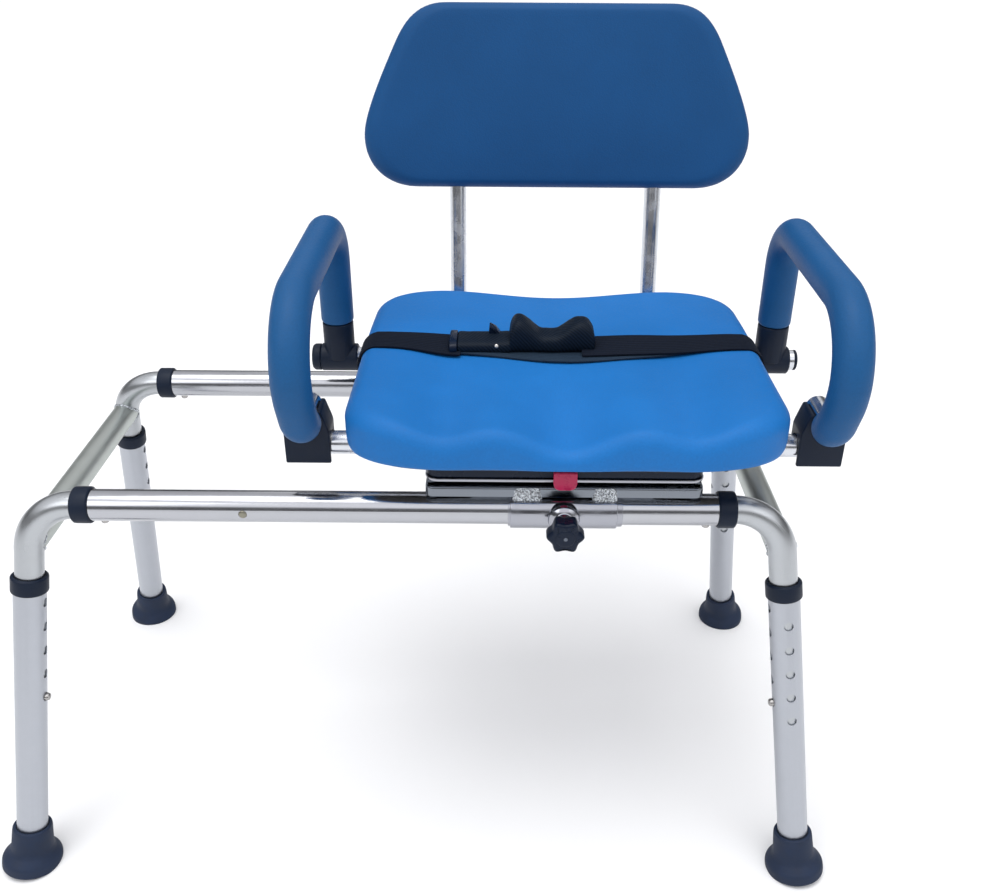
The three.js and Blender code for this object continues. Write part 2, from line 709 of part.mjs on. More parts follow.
function armPath(startHeight, endY) {
  return new BentPath([
    point(0, REAR_TUBE_Y, startHeight),
    point(0, REAR_TUBE_Y, ARM_TOP),
    point(0, ARM_FRONT, ARM_TOP - ARM_DROP),
    point(0, ARM_FRONT, 520),
    point(0, -138, ARM_REST),
    point(0, endY, ARM_REST),
  ], [42, 62, 60, 24], SOFT_BEND_STEP);
}

function armPivot() {
  const across = alongX(straightTube(PIVOT_SLEEVE_OD / 2, 0, PIVOT_SLEEVE_LENGTH));
  const upHeight = POST_SLEEVE_TOP - SEAT_TUBE_HEIGHT;
  const up = straightTube(POST_SLEEVE_OD / 2, 0, upHeight).translate(0, 0, upHeight / 2);
  const tubeSpace = alongX(straightTube(SEAT_TUBE_OD / 2 + GAP, 0, PIVOT_SLEEVE_LENGTH + 2));
  const socketLow = ARM_TUBE_START - SEAT_TUBE_HEIGHT - GAP;
  const socket = straightTube(ARM_TUBE_OD / 2 + GAP, 0, 40).translate(0, 0, socketLow + 20);
  const whole = cut(join(across, up), tubeSpace, socket);
  return whole.translate(0, REAR_TUBE_Y, SEAT_TUBE_HEIGHT);
}

function armTube() {
  return bentTube(armPath(ARM_TUBE_START, -86), ARM_TUBE_OD / 2, ARM_TUBE_OD / 2 - SEAT_TUBE_WALL, 12, 6);
}

function armFoam() {
  const path = armPath(POST_SLEEVE_TOP + GAP, -86);
  const last = path.stations.length - 4;
  path.stations = path.stations.slice(0, last);
  path.headings = path.headings.slice(0, last);
  return bentTube(path, FOAM_OD / 2, ARM_TUBE_OD / 2 + 1.2, 12, 8);
}

// The front clip drops over the front seat tube and holds the arm tube above it, between two fins.
function armClip() {
  const shape = new THREE.Shape();
  const low = CLIP_WIDTH / 2;
  const high = CLIP_TOP_WIDTH / 2;
  const open = ARM_TUBE_OD / 2 + GAP;
  shape.moveTo(-low, CLIP_BOTTOM);
  shape.lineTo(low, CLIP_BOTTOM);
  shape.lineTo(low, CLIP_SHOULDER);
  shape.lineTo(high, CLIP_TOP);
  shape.lineTo(open, CLIP_TOP);
  shape.lineTo(open, ARM_REST);
  shape.lineTo(-open, ARM_REST);
  shape.lineTo(-open, CLIP_TOP);
  shape.lineTo(-high, CLIP_TOP);
  shape.lineTo(-low, CLIP_SHOULDER);
  shape.closePath();
  const block = alongY(slab(shape, -CLIP_DEPTH / 2, CLIP_DEPTH / 2));
  const slotRadius = SEAT_TUBE_OD / 2 + 1;
  const slotTop = alongX(straightTube(slotRadius, 0, CLIP_WIDTH + 2)).translate(0, 0, SEAT_TUBE_HEIGHT);
  const slotMouth = box(CLIP_WIDTH + 2, 2 * slotRadius, CLIP_BOTTOM - 1, SEAT_TUBE_HEIGHT);
  const armBore = alongY(straightTube(ARM_TUBE_OD / 2 + GAP, 0, CLIP_DEPTH + 2)).translate(0, 0, ARM_REST);
  return cut(block, slotTop, slotMouth, armBore).translate(0, FRONT_TUBE_Y, 0);
}

function buildArms() {
  for (const [name, side] of LEFT_AND_RIGHT) {
    const arm = new THREE.Group();
    arm.position.x = side * ARM_X;
    seat.add(arm);
    addPiece(arm, `arm_pivot_${name}`, armPivot(), blackPlastic());
    addPiece(arm, `arm_tube_${name}`, armTube(), chrome());
    addPiece(arm, `arm_foam_${name}`, armFoam(), blueFoam());
    addPiece(arm, `arm_clip_${name}`, armClip(), blackPlastic());
  }
}

// ---- Belt ----

// A strap across the seat, over its side and screwed under its board; x is measured outwards.
function strap(start) {
  const over = SEAT_TOP + 1;
  const beside = SEAT_HALF + 1;
  const under = SEAT_TUBE_HEIGHT + SEAT_TUBE_OD / 2 - 0.5;
  const bend = 10;
  const shape = new THREE.Shape();
  shape.moveTo(start, over);
  shape.lineTo(beside - bend, over);
  shape.absarc(beside - bend, over - bend, bend, Math.PI / 2, 0, true);
  shape.lineTo(beside, under);
  shape.lineTo(150, under);
  shape.lineTo(150, under - BELT_THICK);
  shape.lineTo(beside + BELT_THICK, under - BELT_THICK);
  shape.lineTo(beside + BELT_THICK, over - bend);
  shape.absarc(beside - bend, over - bend, bend + BELT_THICK, 0, Math.PI / 2);
  shape.lineTo(start, over + BELT_THICK);
  shape.closePath();
  const band = new THREE.ExtrudeGeometry(shape, { depth: BELT_WIDTH, bevelEnabled: false, curveSegments: 4 });
  return band.translate(0, 0, -BELT_WIDTH / 2).rotateX(Math.PI / 2);
}

function buckle() {
  const length = BUCKLE_RIGHT - BUCKLE_LEFT - 2 * GAP;
  const body = softSlab(roundedRectangle(length, 40, 8), SEAT_TOP + 1, SEAT_TOP + 15, 4, 2, 1);
  return body.translate((BUCKLE_LEFT + BUCKLE_RIGHT) / 2, BELT_Y, 0);
}

function buildBelt() {
  const right = addPiece(seat, "belt_strap_right", strap(BUCKLE_RIGHT), webbing());
  right.position.y = BELT_Y;
  const left = addPiece(seat, "belt_strap_left", strap(-BUCKLE_LEFT), webbing());
  left.position.y = BELT_Y;
  left.rotation.z = Math.PI;
  addPiece(seat, "belt_buckle", buckle(), blackPlastic());
}

buildFrame();
buildLegs();
buildCarriage();
buildSeat();
buildArms();
buildBelt();

export default bench;
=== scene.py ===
import math

import bmesh
import bpy
import numpy as np
from mathutils import Matrix, Vector, noise


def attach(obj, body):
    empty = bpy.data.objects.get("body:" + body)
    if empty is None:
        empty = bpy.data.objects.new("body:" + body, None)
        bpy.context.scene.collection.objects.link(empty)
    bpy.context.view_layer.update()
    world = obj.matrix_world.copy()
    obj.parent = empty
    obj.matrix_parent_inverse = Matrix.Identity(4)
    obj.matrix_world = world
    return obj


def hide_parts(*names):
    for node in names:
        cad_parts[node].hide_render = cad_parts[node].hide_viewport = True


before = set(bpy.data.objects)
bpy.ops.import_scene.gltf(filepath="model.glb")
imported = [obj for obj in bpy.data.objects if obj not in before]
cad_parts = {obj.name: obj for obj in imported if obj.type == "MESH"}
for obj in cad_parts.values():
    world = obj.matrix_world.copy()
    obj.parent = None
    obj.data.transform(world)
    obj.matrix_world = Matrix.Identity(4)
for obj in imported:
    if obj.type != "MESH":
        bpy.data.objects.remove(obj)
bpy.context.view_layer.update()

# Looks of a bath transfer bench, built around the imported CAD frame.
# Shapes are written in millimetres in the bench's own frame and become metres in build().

MM = 0.001
DEPTH_SHIFT = 5.3

# ---- Dimensions, as in the CAD part ----

# Outer and inner radius of each kind of tube.
RAIL_TUBE, CORNER_TUBE, SEAT_TUBE, BACK_TUBE = (15, 13.6), (13.3, 11.5), (11, 9.5), (9, 7.5)
SEAT_TUBE_BORE, FOAM_RADIUS, FOAM_BORE = 11.3, 17.3, 12
RAIL_SIDE, RAIL_HEIGHT, RAIL_HALF, RAIL_PIN_X, LOCK_EYE_X = 133, 393.5, 303, 281, 147
CORNER_X, CORNER_BEND, PLUG_DEPTH = 349.3, 48, 57
SPLAY_OUT, SPLAY_SIDE = 0.128, 0.192
CROSS_X, CROSS_HEIGHT = 354, 354
COLLAR_RADIUS, COLLAR_LENGTH = 17.3, 17
LEG_COLLAR_AT, HOLE_PITCH, HOLE_COUNT, INNER_ROW, OUTER_ROW = 80.7, 26, 5, 19, 33.5
HOLE_RADIUS, BUTTON_ALONG_LEG, BUTTON_TIP = 4.5, 203.7, 19.5
LEG_TO_FLOOR = RAIL_HEIGHT * math.sqrt(1 + SPLAY_OUT ** 2 + SPLAY_SIDE ** 2)
CARRIAGE_X = 147
SEAT_TUBE_HEIGHT, FRONT_TUBE_Y, REAR_TUBE_Y, BACK_TUBE_X = 446, -104, 92, 107.5
ARM_X, ARM_TOP, ARM_DROP, ARM_FRONT, ARM_REST = 235, 597, 4.5, -159, 478
POST_SLEEVE_TOP, BELT_Y, BELT_WIDTH = 488, -6, 38
PLATE_WIDTH, PLATE_DEPTH, PLATE_CORNER = 253, 292, 12
TRAY_CORNER, TRAY_TOP, TRAY_BOTTOM, TRAY_SHEET, PIVOT_HOLE = 8, 423.5, 413, 3, 6.3
SEAT_BOTTOM, SEAT_TOP, BOARD_TOP, BOARD_BOTTOM = 463.6, 507, 462.8, 457.3
PAD_BOTTOM, PAD_HEIGHT, BACK_BEND_Y = 608.5, 188, 156
RECLINE = math.radians(12)
CORNERS = (("front_left", -1, -1), ("front_right", 1, -1), ("rear_left", -1, 1), ("rear_right", 1, 1))
SIDES = (("left", -1), ("right", 1))

# ---- Node materials ----


class Paint:
    """A Principled material with short calls for the nodes that feed it."""

    def __init__(self, name, color, roughness, metallic=0.0, **sockets):
        self.material = bpy.data.materials.new(name)
        self.material.use_nodes = True
        self.tree = self.material.node_tree
        self.shader = self.tree.nodes["Principled BSDF"]
        self.color = (*color, 1.0)
        self.set(self.shader, {"Base Color": self.color, "Roughness": roughness, "Metallic": metallic})
        self.set(self.shader, {key.replace("_", " "): value for key, value in sockets.items()})
        self.space = self.add("ShaderNodeTexCoord")

    def set(self, node, values):
        """Feeds a node's inputs: a socket is linked, anything else is a constant."""
        for key, value in values.items():
            if isinstance(value, bpy.types.NodeSocket):
                self.tree.links.new(value, node.inputs[key])
            else:
                node.inputs[key].default_value = value

    def add(self, kind, values=None, **settings):
        node = self.tree.nodes.new(kind)
        for key, value in settings.items():
            setattr(node, key, value)
        self.set(node, values or {})
        return node

    def coords(self, stretch=(1, 1, 1), source="Object"):
        values = {"Vector": self.space.outputs[source], "Scale": stretch}
        return self.add("ShaderNodeMapping", values).outputs["Vector"]

    def noise(self, scale, detail=3.0, rough=0.5, stretch=(1, 1, 1), source="Object"):
        values = {"Vector": self.coords(stretch, source), "Scale": scale, "Detail": detail, "Roughness": rough}
        return self.add("ShaderNodeTexNoise", values).outputs["Fac"]

    def cells(self, scale):
        return self.add("ShaderNodeTexVoronoi", {"Vector": self.coords(), "Scale": scale}).outputs["Distance"]

    def wave(self, scale, direction, source, distortion=0.0):
        values = {"Vector": self.coords(source=source), "Scale": scale, "Distortion": distortion}
        return self.add("ShaderNodeTexWave", values, bands_direction=direction).outputs["Fac"]

    def span(self, value, low, high, start=0.0, end=1.0):
        values = {"Value": value, "From Min": start, "From Max": end, "To Min": low, "To Max": high}
        return self.add("ShaderNodeMapRange", values).outputs["Result"]

    def math(self, operation, a, b):
        return self.add("ShaderNodeMath", {0: a, 1: b}, operation=operation).outputs[0]

    def blend(self, factor, a, b):
        """A mix of two colours; those are the mix node's inputs 6 and 7 and its output 2."""
        return self.add("ShaderNodeMix", {0: factor, 6: a, 7: b}, data_type="RGBA").outputs[2]

    def tint(self, factor, low, high):
        """The base colour varied by a factor: low and high scale it."""
        scaled = [tuple(min(1, c * s) for c in self.color[:3]) + (1,) for s in (low, high)]
        self.set(self.shader, {"Base Color": self.blend(factor, scaled[0], scaled[1])})

    def bump(self, height, strength, distance, under=None):
        values = {"Height": height, "Strength": strength, "Distance": distance}
        if under is not None:
            values["Normal"] = under
        return self.add("ShaderNodeBump", values).outputs["Normal"]

    def finish(self, **links):
        self.set(self.shader, {key.replace("_", " "): value for key, value in links.items()})
        return self.material


def drawn_metal(name, color, low, high, grain):
    """Drawn tube: long faint streaks in its gloss, and the odd scuff."""
    paint = Paint(name, color, low, 1.0)
    streaks = paint.noise(1.0, 4, 0.6, (900, 6, 1), "UV")
    scuffs = paint.noise(60, 5, 0.65)
    paint.tint(scuffs, 0.93, 1.04)
    mixed = paint.math("MULTIPLY", paint.span(streaks, 0.7, 1.3, 0.3, 0.7),
                       paint.span(scuffs, 0.85, 1.2, 0.35, 0.7))
    gloss = paint.span(mixed, low, high, 0.6, 1.5)
    fine = paint.bump(streaks, grain, 0.00004)
    return paint.finish(Roughness=gloss, Normal=paint.bump(paint.noise(18, 2), 0.05, 0.0006, fine))


def worn(name, color, rough, spots, tint, gloss, grain, metallic=0.0, specular=0.5):
    """One noise varies the colour (tint) and the roughness (gloss), another, the grain, bumps the skin.

    spots is a noise's scale, detail and roughness; grain adds a bump's strength and distance to those.
    """
    paint = Paint(name, color, rough, metallic, Specular_IOR_Level=specular)
    pattern = paint.noise(*spots)
    paint.tint(pattern, *tint)
    bump = paint.bump(paint.noise(*grain[:-2]), *grain[-2:])
    return paint.finish(Roughness=paint.span(pattern, *gloss), Normal=bump)


def plated_metal(name, color, rough):
    return worn(name, color, rough, (45, 4, 0.6), (0.95, 1.03), (rough * 0.7, rough * 1.8, 0.35, 0.7),
                (26, 2, 0.05, 0.0005), metallic=1.0)


def moulded_plastic(name, color, rough, grain=0.15):
    return worn(name, color, rough, (40, 3, 0.6), (0.8, 1.2), (rough - 0.08, rough + 0.1, 0.3, 0.7),
                (700, 2, grain, 0.0002), specular=0.2)


def weld_metal():
    paint = Paint("weld_bead", (0.50, 0.53, 0.56), 0.24, 1.0)
    ripples = paint.noise(650, 4, 0.65)
    paint.tint(paint.span(ripples, 0, 1, 0.36, 0.64), 0.22, 1.7)
    return paint.finish(Roughness=paint.span(ripples, 0.12, 0.4), Normal=paint.bump(ripples, 0.8, 0.0012))


def moulded_foam(name, color, rough):
    """Self-skinned foam: a fine pebbled skin, a mottled colour and a low gloss."""
    paint = Paint(name, color, rough, Specular_IOR_Level=0.2)
    patches = paint.noise(9, 3, 0.55)
    specks = paint.noise(520, 3, 0.6)
    pores = paint.cells(640)
    mottle = paint.math("ADD", paint.span(patches, -0.25, 0.25, 0.3, 0.7), specks)
    paint.tint(mottle, 0.86, 1.14)
    skin = paint.bump(specks, 0.28, 0.0004)
    skin = paint.bump(pores, 0.22, 0.00035, skin)
    soft = paint.bump(paint.noise(30, 2), 0.10, 0.002, skin)
    return paint.finish(Roughness=paint.span(specks, rough - 0.07, rough + 0.1, 0.3, 0.7), Normal=soft)


def woven_webbing(name, color):
    """Belt webbing: ribs along its length crossed by a fine pick; the colour is paler on the raised threads
    and darker in the weave's grooves as painted shade, flecked at random.
    """
    paint = Paint(name, color, 0.75, Specular_IOR_Level=0.12)
    ribs = paint.wave(330, "X", "UV")
    picks = paint.wave(420, "Y", "UV", 0.6)
    weave = paint.math("MULTIPLY", ribs, picks)
    fuzz = paint.noise(1500, 2)
    # Painted shade: the colour follows the weave's relief, darker in its grooves, with random flecks from the
    # fuzz.
    paint.tint(paint.math("MULTIPLY", weave, fuzz), 0.6, 2.6)
    return paint.finish(Normal=paint.bump(weave, 0.6, 0.0004, paint.bump(fuzz, 0.2, 0.0002)))


def buckle_cloth():
    """Black plastic wrapped in rolled webbing: fine ribs, a low gloss."""
    paint = Paint("buckle_black", (0.004, 0.009, 0.018), 0.55, Specular_IOR_Level=0.12)
    ribs = paint.wave(160, "DIAGONAL", "Object", 1.2)
    grain = paint.noise(900, 3)
    # Painted shade: the colour is darker in the ribs' grooves and paler on their crests, varied at random by
    # the grain.
    paint.tint(paint.math("MULTIPLY", ribs, grain), 0.6, 2.2)
    return paint.finish(Roughness=paint.span(grain, 0.4, 0.65), Normal=paint.bump(ribs, 0.35, 0.0006))


def coated_board():
    paint = Paint("seat_underboard", (0.03, 0.028, 0.027), 0.7)
    fibres = paint.noise(30, 6, 0.7, (1, 14, 14))
    paint.tint(fibres, 0.6, 1.6)
    return paint.finish(Normal=paint.bump(fibres, 0.2, 0.0004))


LOOK = {
    # The aluminium base colours are set far below bare aluminium's: painted shade that darkens their
    # reflections of the pale floor and studio.
    "rail": drawn_metal("polished_aluminium", (0.46, 0.47, 0.50), 0.12, 0.24, 0.10),
    "leg": drawn_metal("satin_aluminium", (0.45, 0.47, 0.51), 0.28, 0.44, 0.25),
    "corner": drawn_metal("bright_aluminium", (0.46, 0.48, 0.50), 0.25, 0.38, 0.12),
    "cross": drawn_metal("brushed_aluminium", (0.47, 0.50, 0.48), 0.36, 0.52, 0.2),
    # The sleeves' and upper plate's chrome is the same plating as the seat tubes', set much darker: painted
    # shade that darkens their reflections.
    "chrome": plated_metal("chrome_plate", (0.37, 0.38, 0.42), 0.15),
    # The lower plate's plating is the chrome set darker still: painted shade that darkens its reflections of
    # the floor in front.
    "plate": plated_metal("plated_steel_painted_shade", (0.20, 0.22, 0.25), 0.18),
    # The seat tubes', back posts' and arm bars' chrome is set lighter: painted light against the dark band of
    # the studio that they reflect.
    "tubechrome": plated_metal("chrome_tube_painted_light", (0.64, 0.66, 0.70), 0.19),
    "weld": weld_metal(),
    "zinc": plated_metal("zinc_pin", (0.40, 0.39, 0.38), 0.25),
    "greysteel": plated_metal("grey_steel", (0.16, 0.18, 0.22), 0.4),
    "brass": plated_metal("brass_eye", (0.26, 0.25, 0.20), 0.3),
    "seat": moulded_foam("seat_foam", (0.010, 0.150, 0.455), 0.55),
    # The backrest's foam is the seat's blue foam set darker: painted shade for the upright backrest, which
    # gets less of the light from above.
    "back": moulded_foam("back_foam", (0.005, 0.065, 0.198), 0.6),
    "arm": moulded_foam("arm_foam", (0.009, 0.083, 0.230), 0.5),
    "black": moulded_plastic("black_plastic", (0.005, 0.011, 0.026), 0.44),
    "blackgloss": moulded_plastic("black_gloss_plastic", (0.004, 0.010, 0.026), 0.3, 0.06),
    "buckle": buckle_cloth(),
    "grey": moulded_plastic("bearing_plastic", (0.25, 0.26, 0.27), 0.5),
    "rubber": worn("foot_rubber", (0.013, 0.022, 0.047), 0.62, (55, 4, 0.65), (0.65, 1.7),
                   (0.5, 0.75, 0.3, 0.7), (900, 2, 0.25, 0.0003), specular=0.25),
    "webbing": woven_webbing("belt_webbing", (0.006, 0.010, 0.021)),
    "webbingpale": woven_webbing("worn_webbing", (0.020, 0.038, 0.066)),
    "red": worn("lever_red", (0.48, 0.018, 0.088), 0.35, (120, 3, 0.6), (0.75, 1.2),
                (0.2, 0.38), (400, 2, 0.1, 0.0002), specular=0.35),
    "board": coated_board(),
}

# ---- Building pieces ----


class Form:
    """Points in millimetres with faces and, on swept forms, UVs in metres."""

    def __init__(self, points=(), faces=(), uvs=None):
        self.points = [Vector(p) for p in points]
        self.faces = [tuple(f) for f in faces]
        self.uvs = uvs

    def moved(self, matrix):
        return Form([matrix @ p for p in self.points], self.faces, self.uvs)

    def plus(self, *others):
        whole = Form(self.points, self.faces, self.uvs)
        for other in others:
            start = len(whole.points)
            whole.points += other.points
            whole.faces += [tuple(i + start for i in f) for f in other.faces]
            if whole.uvs is not None and other.uvs is not None:
                whole.uvs = whole.uvs + other.uvs
            else:
                whole.uvs = None
        return whole


def shift(x=0, y=0, z=0):
    return Matrix.Translation((x, y, z))


def turn(axis, degrees):
    return Matrix.Rotation(math.radians(degrees), 4, axis)


CARRIAGE = shift(CARRIAGE_X)
# These lay a form's Z axis along X or along -Y.
ALONG_X, ALONG_Y = turn("Y", 90), turn("X", 90)


def add_object(name, data):
    made = bpy.data.objects.new(name, data)
    bpy.context.scene.collection.objects.link(made)
    return made


def mesh_object(name, form, sharp=35):
    mesh = bpy.data.meshes.new(name)
    mesh.from_pydata([p * MM for p in form.points], [], form.faces)
    if form.uvs is not None:
        layer = mesh.uv_layers.new(name="UVMap")
        layer.data.foreach_set("uv", np.array(form.uvs, dtype=np.float32).ravel())
    mesh.validate()
    face_outwards(mesh)
    made = add_object(name, mesh)
    smooth(made, sharp)
    return made


def face_outwards(mesh):
    shell = bmesh.new()
    shell.from_mesh(mesh)
    bmesh.ops.recalc_face_normals(shell, faces=shell.faces)
    shell.to_mesh(mesh)
    shell.free()
    mesh.update()


def smooth(made, sharp=35):
    made.data.shade_smooth()
    made.data.set_sharp_from_angle(angle=math.radians(sharp))


def build(name, form, body, look, nodes=(), place=Matrix.Identity(4), sharp=35):
    """One visible piece: its mesh stays in its own axes, and its object takes it to its place."""
    made = mesh_object(name, form, sharp)
    in_metres = place.copy()
    in_metres.translation = (place.translation - Vector((0, DEPTH_SHIFT, 0))) * MM
    made.matrix_world = in_metres
    made.data.materials.append(LOOK[look])
    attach(made, body)
    if nodes:
        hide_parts(*([nodes] if isinstance(nodes, str) else nodes))
    return made


def carve(made, cutters, sharp=35, operation="DIFFERENCE"):
    """Cuts (or joins) forms given in the piece's own axes."""
    tool = mesh_object("cutter", cutters[0].plus(*cutters[1:]), sharp)
    tool.matrix_world = made.matrix_world
    step = made.modifiers.new("cut", "BOOLEAN")
    step.operation, step.object, step.solver = operation, tool, "EXACT"
    bpy.context.view_layer.update()
    graph = bpy.context.evaluated_depsgraph_get()
    mesh = bpy.data.meshes.new_from_object(made.evaluated_get(graph), preserve_all_data_layers=True,
                                           depsgraph=graph)
    mesh.name = made.name
    made.modifiers.clear()
    made.data = mesh
    smooth(made, sharp)
    bpy.data.objects.remove(tool)


# ---- Forms ----


def circle(centre, side, up, radius, sides):
    angles = [2 * math.pi * i / sides for i in range(sides)]
    return [centre + side * radius * math.cos(a) + up * radius * math.sin(a) for a in angles]


def bent_path(corners, radii, step=6):
    """Points and directions along straight runs joined by round bends."""
    corners = [Vector(c) for c in corners]
    heading = (corners[1] - corners[0]).normalized()
    path = [(corners[0], heading)]
    for i in range(1, len(corners) - 1):
        after = (corners[i + 1] - corners[i]).normalized()
        angle = heading.angle(after)
        axis = heading.cross(after).normalized()
        start = corners[i] - heading * radii[i - 1] * math.tan(angle / 2)
        centre = start + axis.cross(heading) * radii[i - 1]
        count = max(2, round(math.degrees(angle) / step))
        for k in range(count + 1):
            spin = Matrix.Rotation(angle * k / count, 3, axis)
            path.append((centre + spin @ (start - centre), spin @ heading))
        heading = after
    path.append((corners[-1], heading))
    return path


def frames_along(path):
    """Adds a side and an up direction that don't twist along the path."""
    side = path[0][1].orthogonal().normalized()
    framed = []
    for place, heading in path:
        side = (side - heading * side.dot(heading)).normalized()
        framed.append((place, side, heading.cross(side)))
    return framed


def ring_skin(rings, closed_along=False, caps=False):
    """Faces and UVs over rings of points; UVs run round and along the form in metres."""
    sides = len(rings[0])
    points = [p for ring in rings for p in ring]
    lengths = [0.0]
    for a, b in zip(rings, rings[1:]):
        lengths.append(lengths[-1] + (sum(b, Vector()) - sum(a, Vector())).length / sides * MM + 1e-6)
    lengths.append(lengths[-1] + 0.001)
    around = sum((rings[0][i] - rings[0][i - 1]).length for i in range(sides)) * MM
    faces, uvs = [], []
    for r in range(len(rings) if closed_along else len(rings) - 1):
        q = (r + 1) % len(rings)
        for i in range(sides):
            j = (i + 1) % sides
            faces.append((r * sides + i, r * sides + j, q * sides + j, q * sides + i))
            low, high = around * i / sides, around * (i + 1) / sides
            uvs += [(low, lengths[r]), (high, lengths[r]), (high, lengths[r + 1]), (low, lengths[r + 1])]
    if caps:
        for ring, order in ((0, -1), (len(rings) - 1, 1)):
            cap = tuple(ring * sides + i for i in range(sides))[::order]
            faces.append(cap)
            uvs += [(rings[ring][i % sides].x * MM, rings[ring][i % sides].y * MM) for i in range(sides)]
    return Form(points, faces, uvs)


def fanned_skin(rings, start, end):
    """A skin over rings, closed by a fan to a point at each end."""
    body = ring_skin(rings)
    sides, count = len(rings[0]), len(body.points)
    faces = list(body.faces)
    for i in range(sides):
        j = (i + 1) % sides
        faces += [(count, j, i), (count + 1, count - sides + i, count - sides + j)]
    return Form(body.points + [start, end], faces)


def tube(path, outer, inner, sides=48, lip=0.5):
    """A hollow tube along a path with softened ends."""
    framed = frames_along(path)
    first, last = path[0], path[-1]
    ends = [(first[0] + first[1] * lip, *framed[0][1:]), (last[0] - last[1] * lip, *framed[-1][1:])]
    outside = [(framed[0], outer - lip), (ends[0], outer)] + [(f, outer) for f in framed[1:-1]]
    outside += [(ends[1], outer), (framed[-1], outer - lip)]
    inside = [(f, inner) for f in framed[::-1]]
    rings = []
    for station, radius in outside + inside:
        rings.append(circle(*station, radius, sides))
    return ring_skin(rings, closed_along=True)


def straight(low, high):
    return [(Vector((0, 0, low)), Vector((0, 0, 1))), (Vector((0, 0, high)), Vector((0, 0, 1)))]


def fillet(outline, radius, steps=3, closed=False):
    """Rounds each inner corner of an outline of 2D points."""
    rounded = []
    count = len(outline)
    for i, corner in enumerate(outline):
        if not closed and i in (0, count - 1):
            rounded.append(tuple(corner))
            continue
        here, before, after = Vector(corner), Vector(outline[i - 1]), Vector(outline[(i + 1) % count])
        back, on = before - here, after - here
        reach = min(radius, back.length * 0.45, on.length * 0.45)
        if reach < 1e-6:
            rounded.append(tuple(corner))
            continue
        a, b = here + back.normalized() * reach, here + on.normalized() * reach
        for k in range(steps + 1):
            t = k / steps
            rounded.append(tuple(a * (1 - t) ** 2 + here * 2 * t * (1 - t) + b * t * t))
    return rounded


def lathe(outline, sides=64, closed=False):
    """Turns (radius, height) points about Z; an open outline starts and ends on the axis."""
    rings = [[Vector((r * math.cos(2 * math.pi * i / sides), r * math.sin(2 * math.pi * i / sides), z))
              for i in range(sides)] for r, z in outline]
    if closed:
        return ring_skin(rings, closed_along=True)
    return fanned_skin(rings[1:-1], Vector((0, 0, outline[0][1])), Vector((0, 0, outline[-1][1])))


def rod(radius, low, high, sides):
    """A plain round bar along Z, for drilling and joining."""
    return lathe([(0, low), (radius, low), (radius, high), (0, high)], sides)


def offset(outline, inset):
    """A closed 2D outline moved inwards; it runs anticlockwise."""
    moved = []
    count = len(outline)
    for i, (x, y) in enumerate(outline):
        a, b = Vector(outline[i - 1]), Vector(outline[(i + 1) % count])
        before, after = (Vector((x, y)) - a), (b - Vector((x, y)))
        if before.length < 1e-6 or after.length < 1e-6:
            before = after = b - a
        n1 = Vector((-before.y, before.x)).normalized()
        n2 = Vector((-after.y, after.x)).normalized()
        normal = (n1 + n2).normalized()
        shorten = max(0.5, normal.dot(n1))
        moved.append((x + normal.x * inset / shorten, y + normal.y * inset / shorten))
    return moved


def level(outline, inset, z):
    """A ring of points at one height, inside the outline by the inset."""
    return [Vector((x, y, z)) for x, y in offset(outline, inset)]


def slab(outline, low, high, edge, steps=3):
    """A flat piece with rounded edges from an anticlockwise outline."""
    rings = []
    for k in range(steps + 1):
        angle = math.pi / 2 * k / steps
        rings.append((edge * (1 - math.sin(angle)), low + edge * (1 - math.cos(angle))))
    rings += [(inset, high + low - z) for inset, z in rings[::-1]]
    return ring_skin([level(outline, inset, z) for inset, z in rings], caps=True)


def rounded_rectangle(width, depth, corner, steps=8):
    points = []
    for k, (sx, sy) in enumerate(((1, -1), (1, 1), (-1, 1), (-1, -1))):
        for i in range(steps + 1):
            angle = -math.pi / 2 + math.pi / 2 * (k + i / steps)
            points.append((sx * (width / 2 - corner) + corner * math.cos(angle),
                           sy * (depth / 2 - corner) + corner * math.sin(angle)))
    return points


def bezier(a, b, c, d, steps):
    a, b, c, d = (Vector(p) for p in (a, b, c, d))
    return [tuple(a * (1 - t) ** 3 + b * 3 * t * (1 - t) ** 2 + c * 3 * t * t * (1 - t) + d * t ** 3)
            for t in (k / steps for k in range(steps))]


def resample(outline, count):
    """The closed outline as that many evenly spaced points."""
    points = [Vector(p) for p in outline]
    lengths = [0.0]
    for a, b in zip(points, points[1:] + points[:1]):
        lengths.append(lengths[-1] + (b - a).length)
    even, k = [], 0
    for i in range(count):
        at = lengths[-1] * i / count
        while lengths[k + 1] < at:
            k += 1
        t = (at - lengths[k]) / max(1e-9, lengths[k + 1] - lengths[k])
        even.append(tuple(points[k].lerp(points[(k + 1) % len(points)], t)))
    return even


def smoothstep(value, low, high):
    t = min(1.0, max(0.0, (value - low) / (high - low)))
    return t * t * (3 - 2 * t)


# ---- Frame ----


def leg_down(cx, cy):
    return Vector((cx * SPLAY_OUT, cy * SPLAY_SIDE, -1)).normalized()


def corner_point(cx, cy):
    return Vector((cx * CORNER_X, cy * RAIL_SIDE, RAIL_HEIGHT))


def corner_path(cx, cy):
    start = Vector((cx * (RAIL_HALF - PLUG_DEPTH), cy * RAIL_SIDE, RAIL_HEIGHT))
    end = corner_point(cx, cy) + leg_down(cx, cy) * (BUTTON_ALONG_LEG + 22)
    return bent_path([start, corner_point(cx, cy), end], [CORNER_BEND])


def leg_place(cx, cy, distance):
    """+Z up the leg, +X inwards, at a distance down the leg."""
    up = -leg_down(cx, cy)
    inwards = Vector((-cx, 0, 0))
    inwards = (inwards - up * inwards.dot(up)).normalized()
    side = up.cross(inwards)
    made = Matrix((inwards, side, up)).transposed().to_4x4()
    made.translation = corner_point(cx, cy) + leg_down(cx, cy) * distance
    return made


